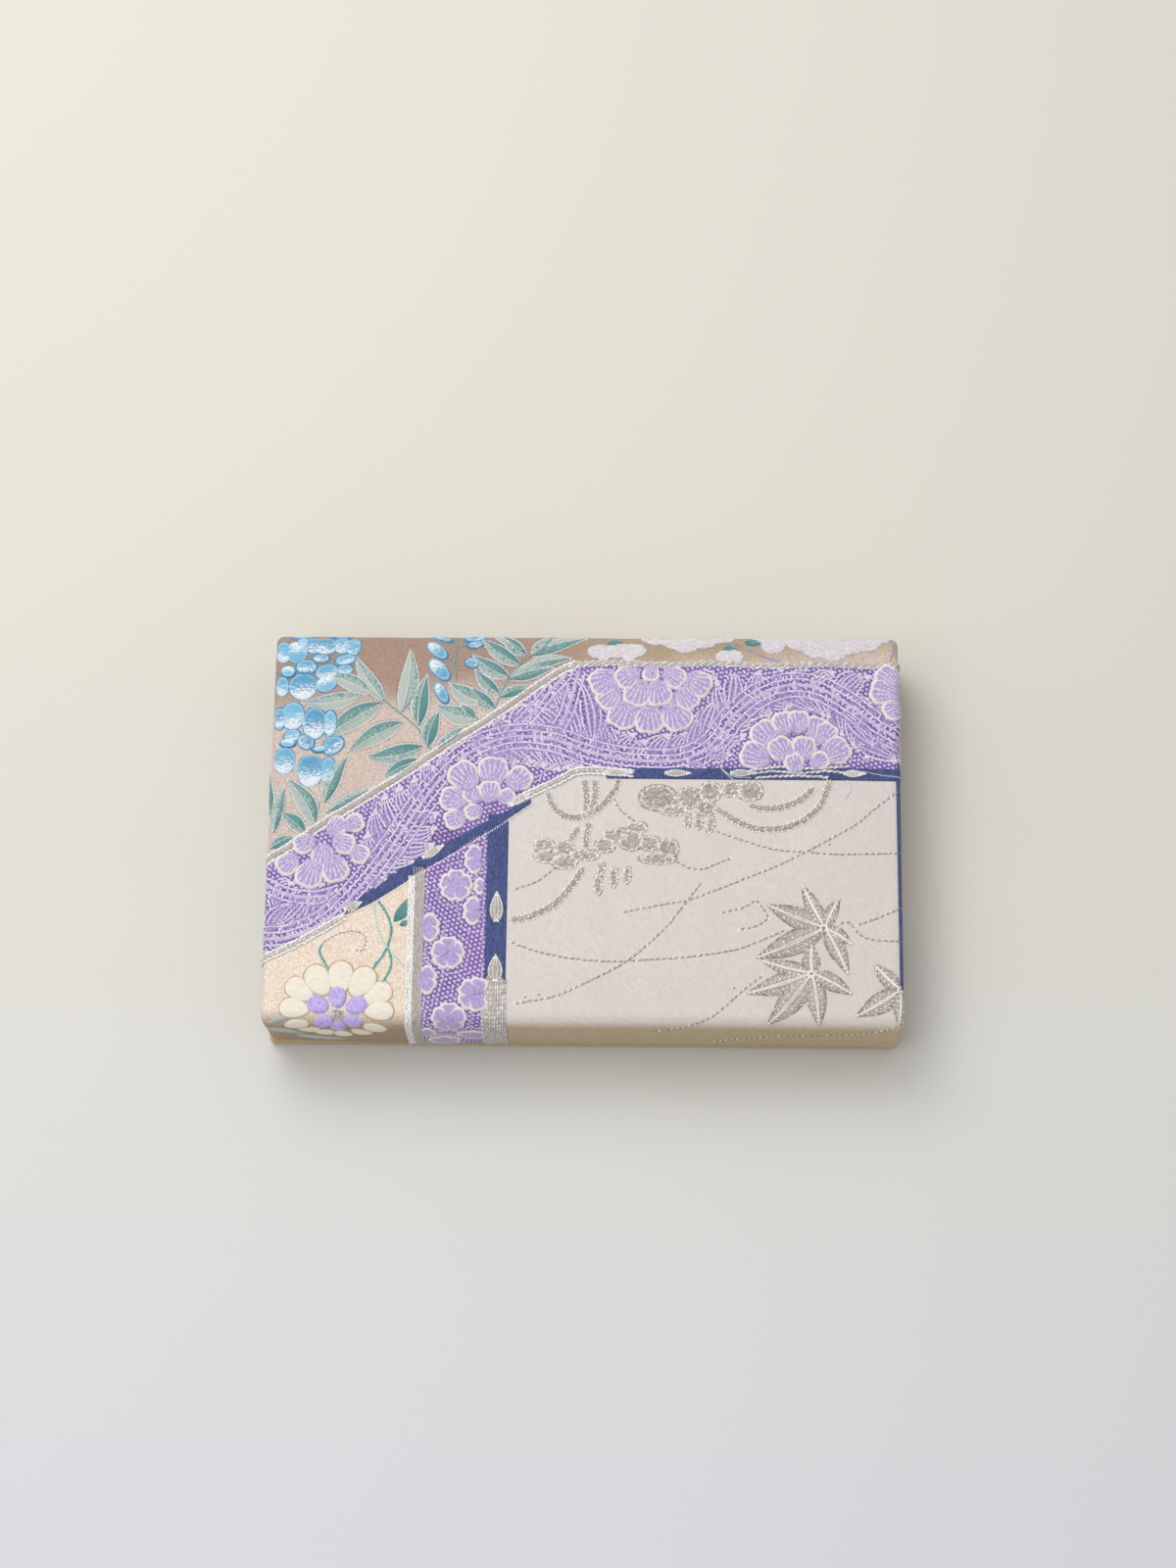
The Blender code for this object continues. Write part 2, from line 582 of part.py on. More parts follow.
def build_spine():
    inner_y = HEIGHT / 2 - PANEL
    rounding = PANEL * EDGE_ROUND_SHARE
    body = rounded_sides(HALF_WIDTH, rounding, lambda inset: spine_outline(FOLD_RADIUS - inset, inner_y))
    cover = place("spine_cover", body, tan_ground())
    half = HALF_WIDTH - EDGE
    hollow = prism(spine_outline(FOLD_RADIUS - BROCADE, inner_y - EDGE), -half, half)
    shape(cover, cutter("spine_pocket", hollow, tan_ground()), "DIFFERENCE")
    outer_y = HEIGHT / 2 - BROCADE - GAP
    half -= GAP
    layers = (("spine_wadding", WADDING, wadding_fibre()), ("spine_board", BOARD, card()),
              ("spine_lining", LINING, lining_cloth()))
    for name, layer, mat in layers:
        outline = slab_outline(outer_y - layer, outer_y, BACK_FOLD_Z, FLAP_FOLD_Z)
        place(name, prism(outline, -half, half), mat)
        outer_y -= layer + GAP


def thickened(line, thickness):
    """Outline of an open line given a thickness, with mitred corners."""
    sides = []
    for side in (1, -1):
        points = []
        for i, point in enumerate(line):
            here = Vector(point)
            before = (here - Vector(line[i - 1])).normalized() if i else None
            after = (Vector(line[i + 1]) - here).normalized() if i < len(line) - 1 else None
            normals = [Vector((-run.y, run.x)) for run in (before, after) if run]
            mitre = sum(normals, Vector((0, 0))).normalized()
            reach = thickness / 2 / mitre.dot(normals[0])
            points.append(tuple(here + side * reach * mitre))
        sides.append(points)
    return sides[0] + sides[1][::-1]


def build_gussets():
    """Cloth sides, folded inwards in a V, sewn to the back lining and to the pouch front by a flange each."""
    low = PANEL + GAP + GUSSET_CLOTH / 2
    high = POUCH_TOP - POUCH_PANEL - GAP - GUSSET_CLOTH / 2
    outer = POUCH_HALF - GUSSET_INSET
    seam = outer - GUSSET_FLANGE
    line = [(outer, low), (seam, low), (seam - GUSSET_FOLD, (low + high) / 2), (seam, high), (outer, high)]
    start = POUCH_FRONT + POUCH_PANEL + GAP
    for name, side in (("gusset_left", -1), ("gusset_right", 1)):
        outline = thickened([(side * x, z) for x, z in line], GUSSET_CLOTH)
        place(name, prism(outline, start, MOUTH_Y, "Y"), lining_cloth())


def rounded_corners(half_width, low, high, radius):
    """Outline (x, y) of a patch with its two lower corners rounded."""
    left = arc(-half_width + radius, low + radius, radius, math.pi, 1.5 * math.pi, 6)
    right = arc(half_width - radius, low + radius, radius, 1.5 * math.pi, 2 * math.pi, 6)
    return left + right + [(half_width, high), (-half_width, high)]


def build_pocket():
    """A patch sewn to the back lining on three sides, open towards the spine."""
    top = MOUTH_Y - POCKET_DROP
    low = top - POCKET_HEIGHT
    floor = PANEL - LINING_INSET + GAP
    half = POCKET_WIDTH / 2
    patch = prism(rounded_corners(half, low, top, POCKET_CORNER), floor, floor + POCKET_ROOM + POCKET_CLOTH, "Z")
    pocket = place("slip_pocket", patch, lining_cloth())
    inside = rounded_corners(half - POCKET_SEAM, low + POCKET_SEAM, top + EDGE, POCKET_CORNER - POCKET_SEAM)
    hollow = prism(inside, floor - CUT_OVER, floor + POCKET_ROOM, "Z")
    shape(pocket, cutter("pocket_room", hollow, lining_cloth()), "DIFFERENCE")


def turned(name, profile, mat, segments=36):
    """A round piece on the snap's axis, spun from its half section (radius, z)."""
    bm = bmesh.new()
    verts = [bm.verts.new((radius, 0, z)) for radius, z in profile]
    edges = [bm.edges.new(pair) for pair in zip(verts, verts[1:])]
    bmesh.ops.spin(bm, geom=verts + edges, cent=(0, 0, 0), axis=(0, 0, 1), angle=2 * math.pi, steps=segments)
    bmesh.ops.remove_doubles(bm, verts=bm.verts, dist=1e-6)
    bmesh.ops.recalc_face_normals(bm, faces=bm.faces)
    bmesh.ops.translate(bm, verts=bm.verts, vec=(0, SNAP_Y, 0))
    obj = place(name, bm, mat)
    obj.data.shade_smooth()
    obj.data.set_sharp_from_angle(angle=math.radians(40))
    return obj


def disc_profile(radius, low, high):
    return [(0, low), (radius, low), (radius, high), (0, high)]


def snap_hole(name, z):
    obj = turned(name, disc_profile(SNAP_RADIUS + GAP, z - EDGE, z + EDGE), card())
    obj.hide_render = True
    obj.display_type = "WIRE"
    return obj


def plate(name, low, high):
    """The backing plate that the snap's legs are bent over, let into the board."""
    return turned(name, disc_profile(SNAP_RADIUS, low, high), snap_metal())


def build_snap(stud_top):
    """A magnetic snap: a socket with a round hole, and a stud whose pin drops into it."""
    socket_low = POUCH_TOP + GAP
    stud_low = stud_top - SNAP_STUD_PLATE
    socket_high = stud_low - GAP
    rim = (socket_high - socket_low) / 4
    socket = [(0, socket_low), (SNAP_RADIUS, socket_low), (SNAP_RADIUS, socket_high - rim),
              (SNAP_RADIUS - rim, socket_high), (SNAP_HOLE_RADIUS, socket_high),
              (SNAP_HOLE_RADIUS, socket_low + SNAP_FLOOR), (0, socket_low + SNAP_FLOOR)]
    turned("snap_socket", socket, snap_metal())
    pin_low = socket_low + SNAP_FLOOR + GAP
    stud = [(0, pin_low), (SNAP_PIN_RADIUS, pin_low), (SNAP_PIN_RADIUS, stud_low), (SNAP_RADIUS, stud_low),
            (SNAP_RADIUS, stud_top), (0, stud_top)]
    turned("snap_stud", stud, snap_metal())


def main():
    clear_scene()
    build_back()
    build_pouch()
    build_gussets()
    build_pocket()
    build_spine()
    build_flap()


main()
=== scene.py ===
"""Looks of a brocade clutch bag that lies closed on its back.

The cloth is laid out flat in millimetres: u runs across the bag and v along the cloth,
from the tip of the lip (v -106) up the lip, over the face, round the spine and down the back.
on_cloth turns (u, v, height) into the place on the bag, so that each woven figure lies on the cloth.
"""
import math

import bpy
import numpy as np
from mathutils import Matrix, Vector


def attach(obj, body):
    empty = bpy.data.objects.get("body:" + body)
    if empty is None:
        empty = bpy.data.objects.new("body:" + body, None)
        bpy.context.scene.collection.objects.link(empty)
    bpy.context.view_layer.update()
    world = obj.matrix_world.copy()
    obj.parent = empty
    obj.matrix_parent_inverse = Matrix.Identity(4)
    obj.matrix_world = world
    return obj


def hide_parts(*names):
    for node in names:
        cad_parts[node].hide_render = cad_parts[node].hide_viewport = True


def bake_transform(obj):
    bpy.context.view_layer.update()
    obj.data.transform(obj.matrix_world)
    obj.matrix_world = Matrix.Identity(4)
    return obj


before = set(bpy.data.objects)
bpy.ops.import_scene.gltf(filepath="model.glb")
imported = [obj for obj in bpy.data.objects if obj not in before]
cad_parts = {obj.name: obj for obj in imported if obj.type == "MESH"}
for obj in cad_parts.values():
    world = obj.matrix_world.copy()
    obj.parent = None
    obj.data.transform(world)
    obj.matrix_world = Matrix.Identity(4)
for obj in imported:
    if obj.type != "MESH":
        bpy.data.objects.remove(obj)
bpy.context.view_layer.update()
rng = np.random.default_rng(24)

# Sizes of the bag, in millimetres
MM = 0.001
HALF_WIDTH = 120.0
TOP = 34.0
PANEL = 5.0
EDGE_ROUND = PANEL / 2
FRONT = -77.5
FOLD_Y = 73.5
LIP_TIP = 5.3
BEND = 6.0
FOLD = 4.0
FLAT_SIDE = HALF_WIDTH - EDGE_ROUND

# Places along the cloth, in millimetres of v
BEND_LOW = -83.5
BEND_HIGH = -71.5
RING_LOW = 73.5
RING_HIGH = 81.5
SPINE_LOW = 107.5
BACK_START = 115.5
BACK_END = BACK_START + FOLD_Y - FRONT - EDGE_ROUND
LIP_END = BEND_LOW - (TOP - BEND - LIP_TIP) + EDGE_ROUND
MID_SPINE = (RING_HIGH + SPINE_LOW) / 2

# Each run of the cloth's path: v at its start and end, its radius (0 if straight), and the angle of
# its outward normal at both, from +Y towards +Z
CLOTH_PATH = (
    (LIP_END, BEND_LOW, 0.0, math.pi, math.pi),
    (BEND_LOW, BEND_HIGH, BEND, math.pi, math.pi / 2),
    (BEND_HIGH, RING_LOW, 0.0, math.pi / 2, math.pi / 2),
    (RING_LOW, RING_HIGH, FOLD, math.pi / 2, 0.0),
    (RING_HIGH, SPINE_LOW, 0.0, 0.0, 0.0),
    (SPINE_LOW, BACK_START, FOLD, 0.0, -math.pi / 2),
    (BACK_START, BACK_END, 0.0, -math.pi / 2, -math.pi / 2),
)
CLOTH_START = (FRONT, LIP_TIP + EDGE_ROUND)


def smooth(low, high, value):
    """0 below low, 1 above high, and the cubic 3t^2 - 2t^3 between them."""
    t = np.clip((value - low) / (high - low), 0, 1)
    return t * t * (3 - 2 * t)


def along(path, start, v):
    """Point (y, z) and outward angle at v: each run adds its straight length or its share of an arc."""
    y = np.full_like(v, start[0])
    z = np.full_like(v, start[1])
    angle = np.full_like(v, path[0][3])
    for low, high, radius, turn_low, turn_high in path:
        share = np.clip((v - low) / (high - low), 0, 1)
        turn = turn_low + (turn_high - turn_low) * share
        if radius:
            y = y + radius * (np.cos(turn) - math.cos(turn_low))
            z = z + radius * (np.sin(turn) - math.sin(turn_low))
        else:
            y = y + math.sin(turn_low) * (high - low) * share
            z = z - math.cos(turn_low) * (high - low) * share
        angle = np.where(v > low, turn, angle)
    return y, z, angle


def swell(u, v):
    """Padding and slack of the cloth: a low crown on the face, faint long waves, and none where it lies
    flat."""
    across = smooth(0, 22, FLAT_SIDE - np.abs(u))
    face = smooth(BEND_HIGH, BEND_HIGH + 18, v) * (1 - smooth(RING_LOW - 16, RING_LOW, v))
    waves = np.sin(u * 0.071 + v * 0.043) + 0.7 * np.sin(u * 0.033 - v * 0.090 + 1.3)
    ripples = np.sin(u * 0.31 + 0.6 * np.sin(v * 0.11)) * smooth(-106, -88, -v)
    lip = smooth(-BEND_HIGH, -BEND_LOW + 6, -v)
    corner = lip * smooth(78, 116, -u)
    flare = lip * smooth(70, 118, u)
    loose = 1 - smooth(SPINE_LOW - 8, BACK_START, v)
    return across * (0.55 * face + loose * (0.06 * waves + 0.05 * ripples)) - 1.1 * corner + 0.45 * flare


def on_panel(path, start, ends, half, thickness, u, v, height):
    """Place of a point that lies height above a padded panel's cloth.

    The path carries a closed cross-section: flat outside, a half circle round each side edge, flat
    inside. Past ends (two values of v) the section shrinks by a quarter circle, which closes the panel.
    """
    u, v, height = np.broadcast_arrays(np.asarray(u, float), np.asarray(v, float), np.asarray(height, float))
    round_off = thickness / 2
    over = np.clip(ends[0] - v, 0, round_off * math.pi / 2) - np.clip(v - ends[1], 0, round_off * math.pi / 2)
    tilt = over / round_off
    inset = round_off * (1 - np.cos(tilt))
    y, z, angle = along(path, start, np.clip(v, *ends))
    out_y, out_z = np.cos(angle), np.sin(angle)
    run_y, run_z = out_z, -out_y
    past = np.abs(u) - (half - round_off)
    around = np.clip(past / round_off, 0, math.pi)
    side = np.sin(around)
    outward = np.cos(around)
    small = round_off - inset
    flat = np.minimum(np.abs(u), half - round_off) - np.maximum(past - math.pi * round_off, 0)
    x = np.sign(u) * (flat + (small * side + height * side * np.cos(tilt)))
    depth = inset + small * (1 - outward) - height * outward * np.cos(tilt)
    shift = -(round_off + height) * np.sin(tilt)
    return np.stack((x, y - depth * out_y + shift * run_y, z - depth * out_z + shift * run_z), axis=-1)


def on_cloth(u, v, height):
    """Place on the outer brocade, with its padding and slack."""
    lifted = height + swell(np.asarray(u, float), np.asarray(v, float))
    return on_panel(CLOTH_PATH, CLOTH_START, (LIP_END, BACK_END), HALF_WIDTH, PANEL, u, v, lifted)


def grid_quads(rows, columns, copies=1, closed=False):
    """Corner numbers of the quads of a grid, repeated for each copy; closed joins the last column to the
    first."""
    count = columns if closed else columns - 1
    row, column = np.meshgrid(np.arange(rows - 1), np.arange(count), indexing="ij")
    following = (column + 1) % columns
    quads = np.stack((row * columns + column, row * columns + following,
                      (row + 1) * columns + following, (row + 1) * columns + column), axis=-1).reshape(-1, 4)
    return (quads[None] + (np.arange(copies) * rows * columns)[:, None, None]).reshape(-1, 4)


def piece(name, points, quads, mat, uv=None, values=None, caps=()):
    """A mesh object from points in millimetres, quads, a UV map in millimetres, values per point and flat
    caps."""
    mesh = bpy.data.meshes.new(name)
    mesh.from_pydata((points.reshape(-1, 3) * MM).tolist(), [],
                     quads.tolist() + [cap.tolist() for cap in caps])
    mesh.polygons.foreach_set("use_smooth", np.arange(len(quads) + len(caps)) < len(quads))
    if uv is not None:
        layer = mesh.uv_layers.new(name="cloth")
        corners = np.concatenate((quads.ravel(), *caps))
        layer.data.foreach_set("uv", uv.reshape(-1, 2)[corners].astype(np.float32).ravel())
    for key, value in (values or {}).items():
        attribute = mesh.attributes.new(key, "FLOAT", "POINT")
        attribute.data.foreach_set("value", np.asarray(value, np.float32).ravel())
    mesh.materials.append(mat)
    mesh.update()
    obj = bpy.data.objects.new(name, mesh)
    bpy.context.scene.collection.objects.link(obj)
    return obj


def spaced(low, high, step):
    """Values from low to high, about a step apart."""
    return np.linspace(low, high, max(2, int(round(abs(high - low) / step)) + 1))


# Woven fields: the ground colours of the picture

def shoulder(distance, raise_by, width=0.7):
    """Height of a raised field at a distance from its edge: a quarter round, sunk at the edge itself."""
    t = np.clip(distance / width, 0, 1)
    return raise_by * np.sqrt(1 - (1 - t) ** 2) - 0.12 * (t <= 0)


def field(name, mat, raise_by, first, second, upright=False, step=1.0):
    """A field between two lines, given as (u, v) points. Rows run along the lines and columns between them.

    Both lines are read as functions of u, or of v where upright. Beyond its end a line keeps its value.
    """
    axis = 1 if upright else 0
    first = np.asarray(first, float)
    second = np.asarray(second, float)
    low = min(first[:, axis].min(), second[:, axis].min())
    high = max(first[:, axis].max(), second[:, axis].max())
    main = spaced(low, high, step)
    ends = [np.interp(main, line[:, axis], line[:, 1 - axis]) for line in (first, second)]
    widest = np.abs(ends[1] - ends[0]).max()
    share = spaced(0, 1, step / widest)
    share = np.unique(np.concatenate((share,
                                      [0.25 / widest, 0.6 / widest, 1 - 0.25 / widest, 1 - 0.6 / widest])))
    other = ends[0][:, None] * (1 - share) + ends[1][:, None] * share
    main = np.broadcast_to(main[:, None], other.shape)
    width = np.abs(ends[1] - ends[0])[:, None]
    distance = np.minimum(np.minimum(share, 1 - share) * width, np.minimum(main - low, high - main))
    u, v = (other, main) if upright else (main, other)
    height = shoulder(distance, raise_by)
    points = on_cloth(u, v, height)
    quads = grid_quads(*u.shape)
    upwards = (second[0, 1 - axis] + second[-1, 1 - axis]) > (first[0, 1 - axis] + first[-1, 1 - axis])
    if upwards != upright:
        quads = quads[:, ::-1]
    return piece(name, points, quads, mat, np.stack((u, v), axis=-1))


# Lines, stitches and ribbons

def smooth_line(points, step):
    """A Catmull-Rom curve through points, resampled at even distances."""
    points = np.asarray(points, float)
    if len(points) == 2:
        dense = points[0] + (points[1] - points[0]) * np.linspace(0, 1, 50)[:, None]
    else:
        padded = np.vstack((2 * points[0] - points[1], points, 2 * points[-1] - points[-2]))
        t = np.linspace(0, 1, 16, endpoint=False)[None, :, None]
        a, b, c, d = (padded[i:len(padded) - 3 + i, None, :] for i in range(4))
        curve = 0.5 * (2 * b + (c - a) * t + (2 * a - 5 * b + 4 * c - d) * t ** 2 + (3 * b - a - 3 * c + d)
                       * t ** 3)
        dense = np.vstack((curve.reshape(-1, 2), points[-1]))
    distance = np.concatenate(([0], np.cumsum(np.linalg.norm(np.diff(dense, axis=0), axis=1))))
    at = spaced(0, distance[-1], step)
    return np.column_stack((np.interp(at, distance, dense[:, 0]), np.interp(at, distance, dense[:, 1])))


def headings(line):
    """Angle of a line at each of its points."""
    run = np.gradient(line, axis=0)
    return np.arctan2(run[:, 1], run[:, 0])


def beside(line, offset):
    """The points moved to the left of a line by an offset."""
    angle = headings(line)
    return line + np.column_stack((-np.sin(angle), np.cos(angle))) * np.reshape(offset, (-1, 1))


def stitches_on(line, pitch, length, width, height=0.3, offset=0.0, tilt=0.0, lift=0.0, tone=(0.4, 1.0),
                twist=0.0, wander=0.08):
    """Stitches at even distances along a line, one row each: u, v, angle, length, width, height, lift, tone.

    offset and tilt may be pairs that take turns. twist darkens every other stitch, as in a twisted thread.
    """
    path = smooth_line(line, pitch)
    angle = headings(path)
    count = len(path)
    alternate = np.where(np.arange(count) % 2, -1.0, 1.0)
    across = offset if np.isscalar(offset) else np.where(alternate > 0, offset[0], offset[1])
    turned = tilt if np.isscalar(tilt) else np.where(alternate > 0, tilt[0], tilt[1])
    centre = beside(path, np.broadcast_to(across, count)) + rng.normal(0, wander, (count, 2))
    shape = (length * rng.uniform(0.85, 1.12, count), width * rng.uniform(0.85, 1.15, count))
    shade = rng.uniform(*tone, count) * np.where(alternate > 0, 1.0, 1.0 - twist)
    return np.column_stack((centre, angle + turned + rng.normal(0, 0.06, count), *shape,
                            np.full(count, height), np.full(count, lift), shade))


STITCH_ALONG = np.array([-1.0, -0.62, 0.0, 0.62, 1.0])
STITCH_WIDE = np.array([0.2, 0.85, 1.0, 0.85, 0.2])
STITCH_HIGH = np.array([-0.15, 0.75, 1.0, 0.75, -0.15])
STITCH_ACROSS = np.array([1.0, 0.0, -1.0])


def stitch_piece(name, rows, mat, place=on_cloth):
    """All the stitches of one kind as a mesh: each is a small ridge, 5 points long and 3 across."""
    rows = np.vstack(rows)
    u, v, angle, length, width, height, lift, tone = (rows[:, i, None, None] for i in range(8))
    forward = STITCH_ALONG[None, :, None] * length / 2
    aside = STITCH_ACROSS[None, None, :] * STITCH_WIDE[None, :, None] * width / 2
    top = np.where(STITCH_ACROSS[None, None, :] == 0, STITCH_HIGH[None, :, None] * height, -0.06)
    at_u = u + np.cos(angle) * forward - np.sin(angle) * aside
    at_v = v + np.sin(angle) * forward + np.cos(angle) * aside
    points = place(at_u, at_v, lift + top)
    quads = grid_quads(5, 3, len(rows))[:, ::-1]
    uv = np.stack(np.broadcast_arrays(forward + u, aside + v), axis=-1)
    return piece(name, points, quads[:, ::-1], mat, uv, {"tone": np.broadcast_to(tone, at_u.shape)})


def ribbons(name, lines, mat, step=1.0):
    """Flat rounded ribbons along lines: (line, half width, height, lift). Their section is half an
    ellipse."""
    points, quads, uvs, start = [], [], [], 0
    across = np.array([-1.0, -0.75, -0.3, 0.3, 0.75, 1.0])
    for line, half, height, lift in lines:
        path = smooth_line(line, step)
        angle = headings(path)[:, None]
        count = len(path)
        t = np.linspace(0, 1, count)[:, None]
        taper = np.minimum(1, np.sqrt(np.clip(np.minimum(t, 1 - t) * count * step / half, 0.02, 1)))
        aside = across * half * taper
        u = path[:, :1] - np.sin(angle) * aside
        v = path[:, 1:] + np.cos(angle) * aside
        top = lift + height * np.sqrt(1 - across ** 2) * taper - 0.08 * (np.abs(across) == 1)
        points.append(on_cloth(u, v, top).reshape(-1, 3))
        quads.append(grid_quads(count, 6)[:, ::-1] + start)
        along_it = np.broadcast_to((t * count * step), u.shape)
        uvs.append(np.stack((along_it, np.broadcast_to(aside, u.shape)), axis=-1).reshape(-1, 2))
        start += u.size
    return piece(name, np.vstack(points), np.vstack(quads), mat, np.vstack(uvs))


# Petals and leaves

def disc_grid(count):
    """A square grid pressed into a disc, so that it has no pole: x = X sqrt(1 - Y^2/2), y = Y sqrt(1 -
    X^2/2)."""
    t = np.linspace(-1, 1, count)
    t = np.sign(t) * (1 - (1 - np.abs(t)) ** 1.35)
    across, up = np.meshgrid(t, t)
    return across * np.sqrt(1 - up ** 2 / 2), up * np.sqrt(1 - across ** 2 / 2)


def petals(name, rows, mat, height=0.45, ridge=0.0, count=9, lift=0.0, step_up=0.04, lobes=0.0, taper=0.0,
           notch=0.0):
    """Domed ellipses, one row each: u, v, half width, half height, angle in degrees, fade, tone.

    Height over the radius r is lift + height (1 - r^5), with a ridge near the rim. taper widens the far end,
    notch pulls its middle in, and lobes wave the outline. Each lies a little over the one before.
    """
    rows = np.asarray(rows, float)
    x, y = disc_grid(count)
    radius = np.sqrt(x ** 2 + y ** 2)
    theta = np.arctan2(y, x)
    wave = 1 + lobes * np.cos(7 * theta) * radius
    u, v, wide, tall, angle, fade, tone = (rows[:, i, None, None] for i in range(7))
    angle = np.radians(angle)
    right = x * wave * wide * (1 + taper * y)
    up = y * wave * tall - notch * tall * np.exp(-(x / 0.28) ** 2) * np.clip(y, 0, 1)
    at_u = u + np.cos(angle) * right - np.sin(angle) * up
    at_v = v + np.sin(angle) * right + np.cos(angle) * up
    order = (np.arange(len(rows)) % 14)[:, None, None]
    dome = height * (1 - radius ** 5) + ridge * np.exp(-((radius - 0.84)
                                                         / 0.12) ** 2) - 0.1 * (radius > 0.999)
    points = on_cloth(at_u, at_v, lift + dome + step_up * order - (lift + 0.1) * (radius > 0.999))
    values = {
        "rim": np.broadcast_to((1 - radius) * np.minimum(wide, tall), at_u.shape),
        "end": np.broadcast_to(y, at_u.shape),
        "fade": np.broadcast_to(fade * (y + 1) / 2 + (1 - fade) * 0.5, at_u.shape),
        "tone": np.broadcast_to(tone, at_u.shape),
        "ray": np.broadcast_to(np.arctan2(x, y + 1.6), at_u.shape),
    }
    return piece(name, points, grid_quads(count, count, len(rows)), mat,
                 np.stack((at_u, at_v), axis=-1), values)


def outward(centre, rows, wide=1.05, tall=1.22, inward=0.0):
    """Petal rows that point away from a flower's centre: the size is the mean of (half width, half height).

    The farthest petals come first, so that the nearer ones lie over them.
    """
    found = []
    for u, v, half_width, half_height in sorted(rows, key=lambda row: -math.dist(row[:2], centre)):
        angle = math.atan2(v - centre[1], u - centre[0])
        size = math.sqrt(half_width * half_height)
        found.append((u - inward * math.cos(angle), v - inward * math.sin(angle), size * wide, size * tall,
                      math.degrees(angle) - 90, 0, 0.5))
    return found


def lens(rows, s, t):
    """Place (u, v) and heading in leaf shapes: s runs from base to tip and t across.

    The middle line is a parabola that bows by bend, and the half width is width sin(pi s^0.8).
    """
    rows = np.asarray(rows, float)
    base_u, base_v, tip_u, tip_v, width, bend = (rows[:, i, None, None] for i in range(6))
    run_u, run_v = tip_u - base_u, tip_v - base_v
    length = np.hypot(run_u, run_v)
    cos, sin = run_u / length, run_v / length
    bow = 4 * bend * s * (1 - s)
    slope = np.arctan(4 * bend * (1 - 2 * s) / length)
    aside = bow + t * width * np.sin(math.pi * s ** 0.8)
    heading = np.arctan2(sin, cos) + slope
    return base_u + cos * length * s - sin * aside, base_v + sin * length * s + cos * aside, heading


def leaves(name, rows, mat, height=0.4, groove=0.12, along_count=11, lift=0.0, saw=0.0):
    """Leaf shapes, one row each: base u, v, tip u, v, half width, bend, tone. A groove marks the midrib.

    saw cuts seven teeth into each side: the half width falls by that share along each tooth.
    """
    rows = np.asarray(rows, float)
    across_count = 7
    s = np.linspace(0.0, 1.0, along_count)[None, :, None]
    t = np.linspace(-1, 1, across_count)[None, None, :]
    u, v, heading = lens(rows, s, t * (1 - saw * (s * 7 % 1.0)))
    order = (np.arange(len(rows)) % 6)[:, None, None]
    dome = height * (1 - t ** 4) * np.sin(math.pi * np.clip(s, 0.03, 0.97)) ** 0.35
    dome = lift + dome - groove * np.exp(-(t / 0.18) ** 2) - (lift + 0.1) * (np.abs(t) == 1) + 0.03 * order
    tone = rows[:, 6, None, None]
    values = {
        "half": np.broadcast_to(t, u.shape),
        "tone": np.broadcast_to(tone, u.shape),
        "fade": np.broadcast_to(s, u.shape),
    }
    length = np.hypot(rows[:, 2] - rows[:, 0], rows[:, 3] - rows[:, 1])[:, None, None]
    uv = np.stack(np.broadcast_arrays(s * length + rows[:, 0, None, None], t * rows[:, 4, None, None]),
                  axis=-1)
    return piece(name, on_cloth(u, v, dome), grid_quads(along_count, across_count, len(rows))[:, ::-1], mat,
                 uv, values)


def leaf_stitches(rows, lanes, pitch, length, width, height, lift, tone, twist=0.0, tilt=0.0):
    """Stitches in leaf shapes along lanes of constant t, from base to tip, tilted towards the midrib."""
    found = []
    for row in np.asarray(rows, float):
        size = math.hypot(row[2] - row[0], row[3] - row[1])
        s = spaced(0.06, 0.96, pitch / size)[None, :, None]
        for lane in lanes:
            u, v, heading = lens(row[None], s, np.full((1, 1, 1), lane))
            count = u.size
            shade = rng.uniform(*tone, count) * np.where(np.arange(count) % 2, 1.0 - twist, 1.0)
            lean = tilt * np.sign(lane)
            found.append(np.column_stack((u.ravel(), v.ravel(), heading.ravel() - lean,
                                          np.full(count, length),
                                          np.full(count, width), np.full(count, height), np.full(count, lift),
                                          shade)))
    return found


# Materials

def add(tree, kind, settings=None, **inputs):
    """A node, with its settings and its inputs: a socket is linked and anything else is a value."""
    made = tree.nodes.new(kind)
    for key, value in (settings or {}).items():
        setattr(made, key, value)
    for key, value in inputs.items():
        numbered = key[0] == "i" and key[1:].isdigit()
        socket = made.inputs[int(key[1:]) if numbered else key.replace("_", " ")]
        if isinstance(value, bpy.types.NodeSocket):
            tree.links.new(value, socket)
        else:
            socket.default_value = value
    return made


def calc(tree, operation, a, b=0.5, c=0.5, clamp=False):
    """A Math node's output."""
    return add(tree, "ShaderNodeMath", {"operation": operation, "use_clamp": clamp}, i0=a, i1=b,
               i2=c).outputs[0]


def blend_colours(tree, share, a, b):
    """A colour between a and b."""
    return add(tree, "ShaderNodeMix", {"data_type": "RGBA"}, i0=share, i6=a, i7=b).outputs[2]


def step_between(tree, value, low, high):
    """A value that goes smoothly from 0 at low to 1 at high."""
    made = add(tree, "ShaderNodeMapRange", {"interpolation_type": "SMOOTHSTEP"}, Value=value)
    made.inputs["From Min"].default_value = low
    made.inputs["From Max"].default_value = high
    return made.outputs[0]


